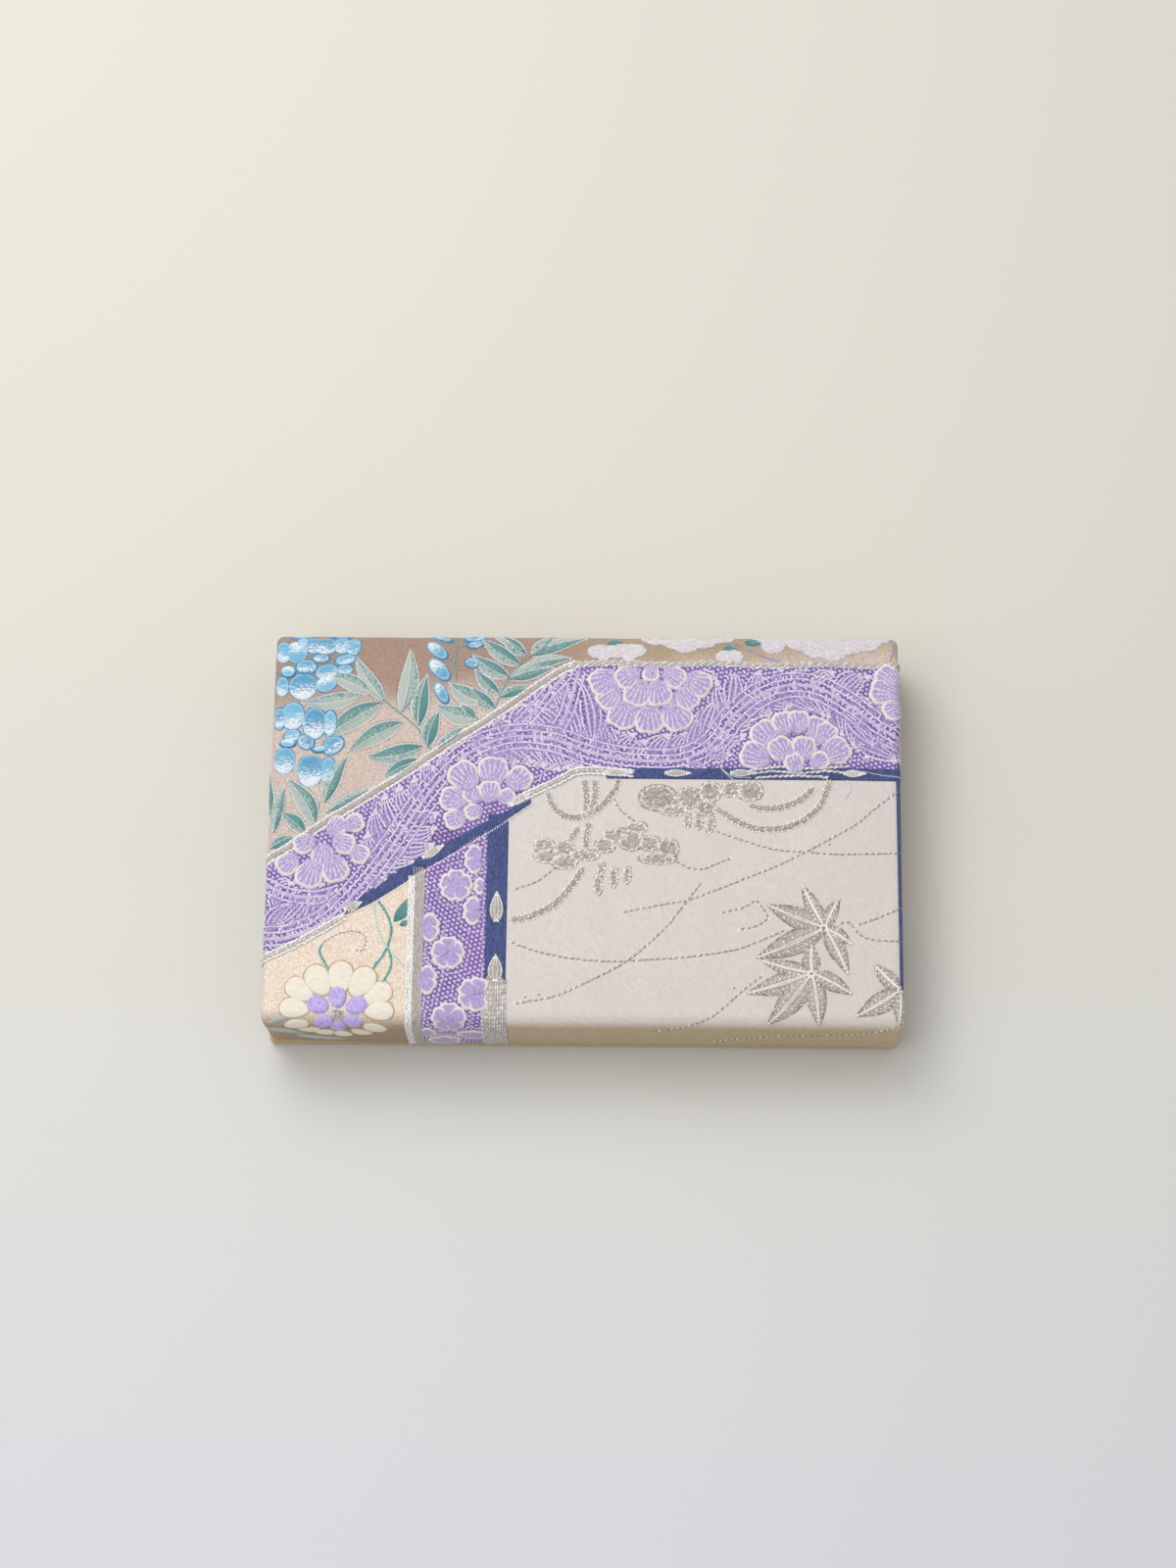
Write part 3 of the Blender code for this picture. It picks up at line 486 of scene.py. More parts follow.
def thread_rows():
    """Node group: threads side by side in dashes of random tone. Thread is a tone per dash, Height its
    rounding."""
    tree = bpy.data.node_groups.get("thread_rows")
    if tree:
        return tree
    tree = bpy.data.node_groups.new("thread_rows", "ShaderNodeTree")
    for name, kind, value in (("Vector", "NodeSocketVector", None), ("Pitch", "NodeSocketFloat", 0.4),
                              ("Dash", "NodeSocketFloat", 2.0), ("Turn", "NodeSocketFloat", 0.0)):
        socket = tree.interface.new_socket(name, in_out="INPUT", socket_type=kind)
        if value is not None:
            socket.default_value = value
    for name in ("Thread", "Height"):
        tree.interface.new_socket(name, in_out="OUTPUT", socket_type="NodeSocketFloat")
    into = add(tree, "NodeGroupInput")
    turned = add(tree, "ShaderNodeVectorRotate", {"rotation_type": "Z_AXIS"},
                 Vector=into.outputs["Vector"], Angle=into.outputs["Turn"])
    parts = add(tree, "ShaderNodeSeparateXYZ", i0=turned.outputs[0])
    row = calc(tree, "DIVIDE", parts.outputs[1], into.outputs["Pitch"])
    row_number = calc(tree, "FLOOR", row)
    shift = add(tree, "ShaderNodeTexWhiteNoise", {"noise_dimensions": "1D"}, W=row_number).outputs["Value"]
    dash = calc(tree, "ADD", calc(tree, "DIVIDE", parts.outputs[0], into.outputs["Dash"]), shift)
    cell = add(tree, "ShaderNodeCombineXYZ", i0=calc(tree, "FLOOR", dash), i1=row_number)
    tone = add(tree, "ShaderNodeTexWhiteNoise", {"noise_dimensions": "2D"},
               Vector=cell.outputs[0]).outputs["Value"]
    across = calc(tree, "SINE", calc(tree, "MULTIPLY", calc(tree, "FRACT", row), math.pi))
    lengthwise = calc(tree, "SINE", calc(tree, "MULTIPLY", calc(tree, "FRACT", dash), math.pi))
    height = calc(tree, "MULTIPLY", across, calc(tree, "POWER", lengthwise, 0.4))
    out = add(tree, "NodeGroupOutput")
    tree.links.new(tone, out.inputs["Thread"])
    tree.links.new(height, out.inputs["Height"])
    return tree


def weave_dots():
    """Node group: dots in slanting rows, each second row moved by half a pitch. Dot is 1 inside a dot."""
    tree = bpy.data.node_groups.get("weave_dots")
    if tree:
        return tree
    tree = bpy.data.node_groups.new("weave_dots", "ShaderNodeTree")
    for name, kind, value in (("Vector", "NodeSocketVector", None), ("Pitch", "NodeSocketFloat", 1.2),
                              ("Turn", "NodeSocketFloat", 0.8)):
        socket = tree.interface.new_socket(name, in_out="INPUT", socket_type=kind)
        if value is not None:
            socket.default_value = value
    tree.interface.new_socket("Dot", in_out="OUTPUT", socket_type="NodeSocketFloat")
    into = add(tree, "NodeGroupInput")
    turned = add(tree, "ShaderNodeVectorRotate", {"rotation_type": "Z_AXIS"},
                 Vector=into.outputs["Vector"], Angle=into.outputs["Turn"])
    parts = add(tree, "ShaderNodeSeparateXYZ", i0=turned.outputs[0])
    row = calc(tree, "DIVIDE", parts.outputs[1], into.outputs["Pitch"])
    half = calc(tree, "MULTIPLY", calc(tree, "FLOORED_MODULO", calc(tree, "FLOOR", row), 2.0), 0.5)
    column = calc(tree, "ADD", calc(tree, "DIVIDE", parts.outputs[0],
                                    calc(tree, "MULTIPLY", into.outputs["Pitch"], 1.25)), half)
    across = calc(tree, "SUBTRACT", calc(tree, "FRACT", row), 0.5)
    along_row = calc(tree, "SUBTRACT", calc(tree, "FRACT", column), 0.5)
    square = calc(tree, "ADD", calc(tree, "MULTIPLY", across, across),
                  calc(tree, "MULTIPLY", along_row, along_row))
    dot = step_between(tree, calc(tree, "SQRT", square), 0.43, 0.27)
    out = add(tree, "NodeGroupOutput")
    tree.links.new(dot, out.inputs["Dot"])
    return tree


def rgb(red, green, blue):
    """A colour as it looks on screen, from 0 to 255, as Blender's linear colour."""
    parts = [c / 255 for c in (red, green, blue)]
    return (*[c / 12.92 if c <= 0.04045 else ((c + 0.055) / 1.055) ** 2.4 for c in parts], 1.0)


class Finish:
    """One material under way: its node tree, its shader and the cloth's coordinates."""

    def __init__(self, name, roughness=0.6, metallic=0.0, sheen=0.0, specular=0.5):
        self.mat = bpy.data.materials.new(name)
        self.mat.use_nodes = True
        self.tree = self.mat.node_tree
        self.shader = self.tree.nodes["Principled BSDF"]
        self.shader.inputs["Roughness"].default_value = roughness
        self.shader.inputs["Metallic"].default_value = metallic
        self.shader.inputs["Specular IOR Level"].default_value = specular
        self.shader.inputs["Sheen Weight"].default_value = sheen
        self.cloth = add(self.tree, "ShaderNodeUVMap", {"uv_map": "cloth"}).outputs[0]

    def value(self, name):
        return add(self.tree, "ShaderNodeAttribute", {"attribute_name": name}).outputs["Fac"]

    def threads(self, pitch, dash, turn=0.0):
        group = add(self.tree, "ShaderNodeGroup", {"node_tree": thread_rows()}, Vector=self.cloth)
        group.inputs["Pitch"].default_value = pitch
        group.inputs["Dash"].default_value = dash
        group.inputs["Turn"].default_value = math.radians(turn)
        return group.outputs["Thread"], group.outputs["Height"]

    def dots(self, pitch, turn):
        group = add(self.tree, "ShaderNodeGroup", {"node_tree": weave_dots()}, Vector=self.cloth)
        group.inputs["Pitch"].default_value = pitch
        group.inputs["Turn"].default_value = math.radians(turn)
        return group.outputs["Dot"]

    def noise(self, scale, detail=2.0):
        made = add(self.tree, "ShaderNodeTexNoise", Vector=self.cloth, Scale=scale, Detail=detail)
        return made.outputs[0]

    def mix(self, share, a, b):
        return blend_colours(self.tree, share, a, b)

    def math(self, operation, *values, clamp=False):
        return calc(self.tree, operation, *values, clamp=clamp)

    def step(self, value, low, high):
        return step_between(self.tree, value, low, high)

    def colour(self, socket):
        self.tree.links.new(socket, self.shader.inputs["Base Color"])

    def roughness(self, socket):
        self.tree.links.new(socket, self.shader.inputs["Roughness"])

    def bump(self, height, depth_mm, strength=1.0):
        made = add(self.tree, "ShaderNodeBump", Height=height, Strength=strength, Distance=depth_mm * MM)
        self.tree.links.new(made.outputs[0], self.shader.inputs["Normal"])


def cloth_place(finish):
    """The cloth's u and v as two sockets."""
    parts = add(finish.tree, "ShaderNodeSeparateXYZ", i0=finish.cloth)
    return parts.outputs[0], parts.outputs[1]


def satin_finish():
    """Ivory satin with a fine diagonal twill, tinted a warm gold as painted shade where it turns under the
    lower edge and near the end of the back.
    """
    made = Finish("ivory_satin", 0.5, sheen=0.12)
    thread, height = made.threads(0.3, 1.7, 52)
    u, v = cloth_place(made)
    ground = made.mix(thread, rgb(204, 197, 192), rgb(217, 210, 206))
    cloudy = made.step(made.noise(0.03), 0.35, 0.7)
    ground = made.mix(made.math("MULTIPLY", cloudy, 0.3), ground, rgb(208, 197, 191))
    # Painted shade: where the cloth turns under the lower edge, and near the end of the back, the satin is
    # tinted a warm gold that stands in for the shade and warm reflected light there.
    under = made.math("ADD", made.math("SUBTRACT", 1.0, made.step(v, -81.0, -75.5)),
                      made.step(v, BACK_END - 16.0, BACK_END - 6.0))
    gold = made.mix(thread, rgb(172, 148, 104), rgb(190, 168, 124))
    made.colour(made.mix(made.math("MULTIPLY", under, 0.92), ground, gold))
    made.bump(height, 0.03, 0.5)
    return made.mat


def tan_finish():
    """Tan twill, smooth brown towards the top edge, pinkish with gold and violet flecks below."""
    made = Finish("tan_twill", 0.55, sheen=0.1)
    thread, height = made.threads(0.3, 0.6, 28)
    fleck, _ = made.threads(0.34, 0.6, -24)
    u, v = cloth_place(made)
    line = made.math("ADD", v, made.math("MULTIPLY", made.noise(0.06), 16.0))
    high = made.step(made.math("SUBTRACT", line, made.math("MULTIPLY", u, 0.12)), 60.0, 78.0)
    right = made.step(u, -30.0, 25.0)
    brown = made.mix(thread, rgb(152, 122, 106), rgb(172, 144, 128))
    olive = made.mix(thread, rgb(162, 138, 112), rgb(182, 160, 132))
    pale = made.mix(thread, rgb(196, 174, 164), rgb(220, 206, 198))
    ground = made.mix(high, pale, made.mix(right, brown, olive))
    lower = made.math("SUBTRACT", 1.0, made.math("MULTIPLY", high, 0.8))
    gold = made.math("MULTIPLY", made.step(fleck, 0.78, 0.84), lower)
    violet = made.math("MULTIPLY", made.step(fleck, 0.2, 0.14), lower)
    ground = made.mix(made.math("MULTIPLY", gold, 0.5), ground, rgb(214, 182, 122))
    made.colour(made.mix(made.math("MULTIPLY", violet, 0.45), ground, rgb(158, 136, 152)))
    made.bump(height, 0.07, 0.8)
    return made.mat


def gold_finish():
    """Peach-cream twill with fine gold flecks, darkened to bronze as painted shade where it turns under the
    lower edge.
    """
    made = Finish("peach_gold_twill", 0.45, metallic=0.1, sheen=0.1)
    thread, height = made.threads(0.32, 0.6, 18)
    fleck, _ = made.threads(0.36, 0.6, -30)
    u, v = cloth_place(made)
    ground = made.mix(thread, rgb(228, 208, 190), rgb(244, 231, 218))
    ground = made.mix(made.math("MULTIPLY", made.step(fleck, 0.74, 0.8), 0.55), ground, rgb(216, 176, 128))
    ground = made.mix(made.math("MULTIPLY", made.step(fleck, 0.16, 0.1), 0.6), ground, rgb(252, 246, 240))
    # Painted shade: below the bend the twill darkens to bronze, which stands in for the shade under the lower
    # edge.
    under = made.math("SUBTRACT", 1.0, made.step(v, -84.0, -70.0))
    bronze = made.mix(thread, rgb(128, 98, 56), rgb(160, 128, 82))
    made.colour(made.mix(made.math("MULTIPLY", under, 0.85), ground, bronze))
    made.bump(height, 0.09, 0.8)
    return made.mat


def purple_finish():
    """Deep purple with light dots in slanting rows, as the weave shows between the figures."""
    made = Finish("purple_weave", 0.6, sheen=0.2)
    dot = made.dots(1.55, 42)
    thread, height = made.threads(0.4, 1.2, 0)
    deep = made.mix(thread, rgb(98, 62, 146), rgb(124, 90, 170))
    made.colour(made.mix(dot, deep, made.mix(thread, rgb(184, 162, 210), rgb(212, 198, 230))))
    made.bump(dot, 0.2, 0.9)
    return made.mat


def thread_finish(name, light, dark, pitch, dash, turn=0.0, roughness=0.55, metallic=0.0, depth=0.1,
                  sheen=0.15):
    """Rows of thread between a light and a dark colour."""
    made = Finish(name, roughness, metallic, sheen)
    thread, height = made.threads(pitch, dash, turn)
    made.colour(made.mix(thread, dark, light))
    made.bump(height, depth, 0.9)
    return made.mat


def stitch_finish(name, light, dark, roughness=0.5, metallic=0.0, sheen=0.1):
    """A thread whose stitches differ in tone, with the twist of its strands. On the metal threads the spread
    from light to dark is partly painted glint and shade.
    """
    made = Finish(name, roughness, metallic, sheen)
    thread, height = made.threads(0.16, 0.5, 35)
    strand = made.math("MULTIPLY", made.math("SUBTRACT", thread, 0.5), 0.25)
    tone = made.math("ADD", made.value("tone"), strand, clamp=True)
    made.colour(made.mix(tone, dark, light))
    made.bump(height, 0.04, 0.7)
    return made.mat


def petal_finish():
    """Blue petals that turn white through fine streaks of thread, with a paler band inside a darker
    outline."""
    made = Finish("wisteria_petal", 0.55, sheen=0.2)
    thread, height = made.threads(0.3, 1.0, 0)
    streak = made.math("MULTIPLY", made.math("SUBTRACT", thread, 0.5), 0.5)
    fade = made.math("ADD", made.value("fade"), streak)
    blue = made.mix(made.value("tone"), rgb(118, 188, 220), rgb(62, 142, 188))
    blue = made.mix(made.math("MULTIPLY", thread, 0.3), blue, rgb(164, 212, 232))
    body = made.mix(made.step(fade, 0.2, 0.55), rgb(234, 240, 244), blue)
    pale = made.step(made.value("rim"), 1.3, 1.0)
    body = made.mix(made.math("MULTIPLY", pale, 0.35), body, rgb(200, 229, 241))
    edge = made.step(made.value("rim"), 0.7, 0.4)
    outline = made.mix(made.step(fade, 0.3, 0.6), rgb(112, 172, 208), rgb(66, 136, 182))
    made.colour(made.mix(edge, body, outline))
    made.bump(height, 0.1, 0.8)
    return made.mat


def leaf_finish():
    """Leaves with one half sage and one half teal, dithered by thread."""
    made = Finish("brocade_leaf", 0.55, sheen=0.2)
    thread, height = made.threads(0.3, 1.0, 62)
    share = made.math("ADD", made.math("MULTIPLY", made.value("half"), 0.5), made.value("tone"))
    share = made.math("ADD", share, made.math("MULTIPLY", made.math("SUBTRACT", thread, 0.5), 0.6))
    teal = made.mix(made.value("fade"), rgb(70, 136, 138), rgb(118, 168, 165))
    teal = made.mix(made.math("MULTIPLY", thread, 0.25), teal, rgb(50, 112, 118))
    made.colour(made.mix(made.step(share, 0.25, 0.75), teal, rgb(188, 200, 192)))
    made.bump(height, 0.12, 0.9)
    return made.mat


def blossom_finish(name, grey, base):
    """Lilac petals with rays of pale thread, and an ivory rim about a millimetre wide.

    grey is the strength of the rays. The rim starts where the petal's value end passes base.
    """
    made = Finish(name, 0.55, sheen=0.2)
    thread, height = made.threads(0.3, 0.8, 70)
    rays = made.math("SINE", made.math("MULTIPLY", made.value("ray"), 38.0))
    pale = made.math("MULTIPLY", made.step(rays, -0.1, 0.6), made.step(thread, 0.15, 0.5))
    fill = made.mix(thread, rgb(160, 140, 200), rgb(194, 178, 222))
    fill = made.mix(made.math("MULTIPLY", pale, grey), fill, rgb(226, 222, 227))
    wavy = made.math("ADD", made.value("rim"), made.math("MULTIPLY", thread, 0.3))
    rim = made.math("MULTIPLY", made.step(wavy, 1.4, 1.15), made.step(made.value("end"), base, base + 0.35))
    body = made.mix(rim, fill, made.mix(thread, rgb(226, 219, 210), rgb(242, 237, 228)))
    outline = made.step(made.value("rim"), 0.16, 0.06)
    made.colour(made.mix(made.math("MULTIPLY", outline, 0.6), body, rgb(120, 92, 176)))
    made.bump(height, 0.1, 0.8)
    return made.mat


def chrysanthemum_finish():
    """Ivory petals crossed by fine rows, with a thin tan outline."""
    made = Finish("ivory_petal", 0.6, sheen=0.2)
    thread, height = made.threads(0.4, 1.6, 8)
    body = made.mix(thread, rgb(230, 221, 204), rgb(241, 235, 222))
    edge = made.step(made.value("rim"), 0.75, 0.45)
    made.colour(made.mix(made.math("MULTIPLY", edge, 0.8), body, rgb(186, 150, 110)))
    made.bump(height, 0.08, 0.8)
    return made.mat


def lining_finish():
    """Plain woven lining: fine warp and weft, mauve with a soft sheen."""
    made = Finish("lining_cloth", 0.7, sheen=0.25)
    warp, warp_height = made.threads(0.42, 1.3, 0)
    weft, weft_height = made.threads(0.42, 1.3, 90)
    tone = made.math("ADD", made.math("MULTIPLY", warp, 0.5), made.math("MULTIPLY", weft, 0.5))
    cloudy = made.step(made.noise(0.03), 0.3, 0.7)
    body = made.mix(tone, rgb(186, 172, 178), rgb(208, 196, 200))
    made.colour(made.mix(made.math("MULTIPLY", cloudy, 0.3), body, rgb(184, 168, 178)))
    made.bump(made.math("MAXIMUM", warp_height, weft_height), 0.08, 0.7)
    return made.mat


def solid_finish(name, light, dark, scale, roughness, metallic=0.0, depth=0.05, stretch=(1.0, 1.0, 1.0)):
    """A finish for the CAD's own nodes, from noise on Object coordinates: fibres, wadding or brushed
    metal."""
    made = Finish(name, roughness, metallic)
    where = add(made.tree, "ShaderNodeTexCoord").outputs["Object"]
    turned = add(made.tree, "ShaderNodeMapping", Vector=where)
    turned.inputs["Scale"].default_value = stretch
    grain = add(made.tree, "ShaderNodeTexNoise", Vector=turned.outputs[0], Scale=scale, Detail=4.0).outputs[0]
    share = made.step(grain, 0.3, 0.7)
    made.colour(made.mix(share, dark, light))
    rough = made.math("ADD", made.math("MULTIPLY", share, 0.12), roughness - 0.06)
    made.roughness(rough)
    made.bump(grain, depth, 0.6)
    return made.mat


def floor_finish():
    """Pale matt floor that turns from cream behind the bag to a cooler grey in front of it."""
    made = Finish("pale_floor", 0.9)
    where = add(made.tree, "ShaderNodeTexCoord").outputs["Object"]
    ahead = add(made.tree, "ShaderNodeSeparateXYZ", i0=where).outputs[1]
    cloudy = add(made.tree, "ShaderNodeTexNoise", Vector=where, Scale=2.0, Detail=2.0).outputs[0]
    body = made.mix(made.step(ahead, -0.45, 0.1), rgb(218, 221, 233), rgb(217, 215, 204))
    made.colour(made.mix(made.math("MULTIPLY", cloudy, 0.08), body, rgb(200, 198, 190)))
    return made.mat


SATIN = satin_finish()
TAN = tan_finish()
GOLD = gold_finish()
PURPLE = purple_finish()
NAVY = thread_finish("navy_weave", rgb(74, 88, 146), rgb(38, 50, 102), 0.4, 1.1, 84)
SILVER_BAND = thread_finish("silver_band", rgb(196, 189, 184), rgb(158, 150, 146), 0.34, 1.1, 80, 0.42, 0.15,
                            0.1)
# Silver thread: the range from near white to dark grey between stitches is partly the thread's own tone and
# partly painted glint and shade on the metal.
SILVER = stitch_finish("silver_thread", rgb(252, 250, 247), rgb(134, 127, 124), 0.36, 0.2)
# Silver-brown thread: its light stitches are partly the thread's own pale tone and partly painted glint on
# the metal.
BRONZE = stitch_finish("silver_brown_thread", rgb(251, 247, 241), rgb(138, 119, 105), 0.4, 0.15)
BRONZE_FILL = thread_finish("silver_brown_fill", rgb(196, 187, 180), rgb(154, 142, 134), 0.55, 1.3, 12, 0.45,
                            0.15, 0.15)
BRONZE_SHADE = thread_finish("silver_brown_shade", rgb(182, 172, 164), rgb(138, 125, 116), 0.5, 1.3, 12, 0.45,
                             0.15)
MAPLE_FILL = thread_finish("maple_weave", rgb(205, 198, 192), rgb(166, 155, 147), 0.5, 1.3, 12, 0.45, 0.15,
                           0.15)
LILAC = stitch_finish("lilac_thread", rgb(234, 228, 238), rgb(160, 136, 196), 0.55)
PLUM = stitch_finish("plum_thread", rgb(138, 106, 182), rgb(84, 50, 136), 0.55)
LILAC_FILL = thread_finish("lilac_weave", rgb(182, 162, 206), rgb(138, 112, 180), 0.45, 1.2, 60)
HEART_FILL = thread_finish("lilac_satin", rgb(204, 190, 238), rgb(172, 152, 222), 0.5, 1.4, 60)
PETAL = petal_finish()
LEAF = leaf_finish()
VEIN = stitch_finish("leaf_outline_thread", rgb(242, 242, 242), rgb(92, 98, 120), 0.45, 0.1)
BLOSSOM = blossom_finish("lilac_blossom", 0.85, -0.55)
STRIP_BLOSSOM = blossom_finish("strip_blossom", 0.15, -0.45)
WHITE = thread_finish("white_blossom", rgb(232, 227, 229), rgb(205, 197, 204), 0.34, 1.2, 4)
CLOUD_THREAD = stitch_finish("pale_lilac_thread", rgb(246, 243, 247), rgb(196, 186, 208), 0.5)
MUM = chrysanthemum_finish()
TEAL = stitch_finish("teal_thread", rgb(112, 182, 178), rgb(52, 124, 124), 0.5)
PALE_STEM = stitch_finish("pale_green_thread", rgb(212, 224, 212), rgb(160, 184, 170), 0.5)
PERIWINKLE = stitch_finish("periwinkle_thread", rgb(168, 172, 212), rgb(104, 110, 160), 0.5)
LOOSE = stitch_finish("loose_white_thread", rgb(252, 251, 250), rgb(212, 208, 214), 0.5)
SPECK = stitch_finish("dark_speck", rgb(84, 72, 68), rgb(52, 44, 42), 0.7)
LINING = lining_finish()
SEAM = stitch_finish("lining_thread", rgb(206, 192, 198), rgb(150, 134, 142), 0.5)
POUCH_SATIN = thread_finish("pouch_satin", rgb(224, 218, 212), rgb(215, 208, 202), 0.3, 1.7, 52, 0.5, 0.0,
                            0.03)
BOARD = solid_finish("grey_board", rgb(132, 124, 112), rgb(96, 90, 82), 900.0, 0.9, stretch=(1, 3, 1))
WADDING = solid_finish("soft_wadding", rgb(238, 236, 230), rgb(212, 209, 200), 260.0, 0.95, depth=0.3)
NICKEL = solid_finish("nickel_plate", rgb(214, 212, 206), rgb(176, 174, 168), 1400.0, 0.28, 1.0, 0.01,
                      (1, 8, 1))


TIP_RUN = EDGE_ROUND * math.pi / 2


# The outer brocade as padded shells: flap with the upper spine, and back with the lower spine

def padded_loop(half, thickness, turned_in, dip, v, ends):
    """Values (u, v, height) of a closed padded panel: the outside, both sides, and an inside that dips past
    a border."""
    flat = half - thickness / 2
    reach = flat + thickness / 2 * math.pi
    side = np.concatenate((spaced(flat, reach, 0.85),
                           [reach + 1.5, reach + turned_in, reach + turned_in + 0.4]))
    middle = spaced(0, flat, 3.0)[:-1]
    inner = reach + turned_in + 0.4 + spaced(0, flat - turned_in - 0.4, 12.0)[1:]
    right = np.concatenate((middle, side, inner))
    u, along_v = np.meshgrid(np.concatenate((right, -right[-2:0:-1])), v)
    inside = smooth(reach + turned_in, reach + turned_in + 0.4, np.abs(u))
    inside = inside * smooth(ends[0] + 0.6, ends[0] + 1.0, along_v)
    inside = inside * (1 - smooth(ends[1] - 1.0, ends[1] - 0.6, along_v))
    return u, along_v, -dip * inside


def shell(name, place, loop, mat):
    """The padded loop as a piece, with a cap over the first and the last section."""
    u, v, height = loop
    ring = np.arange(u.shape[1])
    caps = (ring[::-1], ring + u.size - len(ring))
    return piece(name, place(u, v, height), grid_quads(*u.shape, closed=True), mat, np.stack((u, v), axis=-1),
                 caps=caps)


def stations(low, high):
    """Values of v from low to high: close together at the bends, wide apart on the flat."""
    close = [spaced(LIP_END - TIP_RUN, LIP_END, 0.5), spaced(LIP_END + 0.5, LIP_END + 1.1, 0.3),
             spaced(BEND_LOW - 1, BEND_HIGH + 1, 1.0), spaced(RING_LOW - 1, RING_HIGH + 1, 0.8),
             spaced(SPINE_LOW - 1, BACK_START + 1, 0.8), spaced(BACK_END - 1.1, BACK_END - 0.5, 0.3),
             spaced(BACK_END, BACK_END + TIP_RUN, 0.5)]
    wide = spaced(LIP_END, BACK_END, 3.0)
    found = np.unique(np.round(np.concatenate((*close, wide, [low, high])), 3))
    return found[(found >= low - 1e-6) & (found <= high + 1e-6)]


def across_flap_fold(obj):
    """Cloth that turns over the flap's fold: its transform is baked into the mesh, and it stays unparented.
    """
    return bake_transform(obj)


def across_back_fold(obj):
    """Cloth that turns under the spine to the back: its transform is baked into the mesh, and it stays
    unparented.
    """
    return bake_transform(obj)


def woven(obj, body="flap"):
    """A woven figure: it is parented to a body's empty, or, for a fold, left unparented with its transform
    baked into the mesh.
    """
    if body == "flap_fold":
        across_flap_fold(obj)
    elif body == "back_fold":
        across_back_fold(obj)
    else:
        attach(obj, body)
    return obj


BOTH_ENDS = (LIP_END, BACK_END)
flap_loop = padded_loop(HALF_WIDTH, PANEL, 3.2, 0.8, stations(LIP_END - TIP_RUN, MID_SPINE), BOTH_ENDS)
flap_shell = woven(shell("flap_brocade", on_cloth, flap_loop, SATIN), "flap_fold")
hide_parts("flap_cover")
back_loop = padded_loop(HALF_WIDTH, PANEL, 3.2, 0.8, stations(MID_SPINE, BACK_END + TIP_RUN), BOTH_ENDS)
back_shell = woven(shell("back_brocade", on_cloth, back_loop, SATIN), "back_fold")
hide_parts("back_cover", "spine_cover")

# Lines of the picture on the flap, in millimetres (u, v)
CORD = ((-126, -17), (-120, -13), (-110, -7), (-100, 0.5), (-90, 7), (-80, 13.5), (-70, 20), (-60, 27.5),
        (-50, 34.5), (-40, 41), (-30, 48), (-20, 55.5), (-10, 63), (-5, 65.6), (10, 65.8), (126, 65.2))
BAND_LOW = ((-126, -55), (-120, -52), (-110, -47.5), (-100, -42), (-90, -36), (-80, -27), (-70, -19.5),
            (-60, -13), (-40, -0.5), (-20, 12), (-10, 18), (0, 22), (10, 23), (126, 23))
NAVY_LOW = ((-91, -35.5), (-80, -30.5), (-70, -24), (-62, -18.5), (-40, -4.5), (-20, 9.5))
NAVY_HIGH = ((-91, -33), (-80, -24.5), (-70, -16.5), (-62, -12), (-40, 0.8), (-20, 11.5))

LIP = LIP_END - TIP_RUN + 0.3
woven(field("tan_field", TAN, 0.2, CORD, ((-126, MID_SPINE), (126, MID_SPINE))), "flap_fold")
woven(field("gold_field", GOLD, 0.15, ((-126, LIP), (-62, LIP)),
            ((-126, -53), (-120, -50), (-90, -34), (-62, -15))))
woven(field("purple_field", PURPLE, 0.3, BAND_LOW, CORD))
woven(field("purple_strip", PURPLE, 0.3, ((-60, LIP), (-60, -13)), ((-36.3, LIP), (-36.3, 1)), True))
woven(field("navy_slope", NAVY, 0.5, NAVY_LOW, NAVY_HIGH))
woven(field("navy_level", NAVY, 0.5, ((8, 19.5), (126, 19.3)), ((8, 24.2), (126, 24.4))))
woven(field("navy_upright", NAVY, 0.4, ((-36.6, -60), (-36.6, 0)), ((-28.5, -60), (-28.5, 6)), True))
woven(field("navy_side", NAVY, 0.3, ((118.8, -62), (118.4, 48)), ((125.2, -62), (125.2, 48)), True))
woven(field("silver_upright", SILVER_BAND, 0.5, ((-65.5, LIP), (-65.5, -19)), ((-59.6, LIP), (-59.6, -15)),
            True))
woven(field("silver_block", SILVER_BAND, 0.5, ((-37.3, LIP), (-37.3, -61), (-33.5, -54)),
            ((-28.3, LIP), (-28.3, -61), (-32, -54)), True))

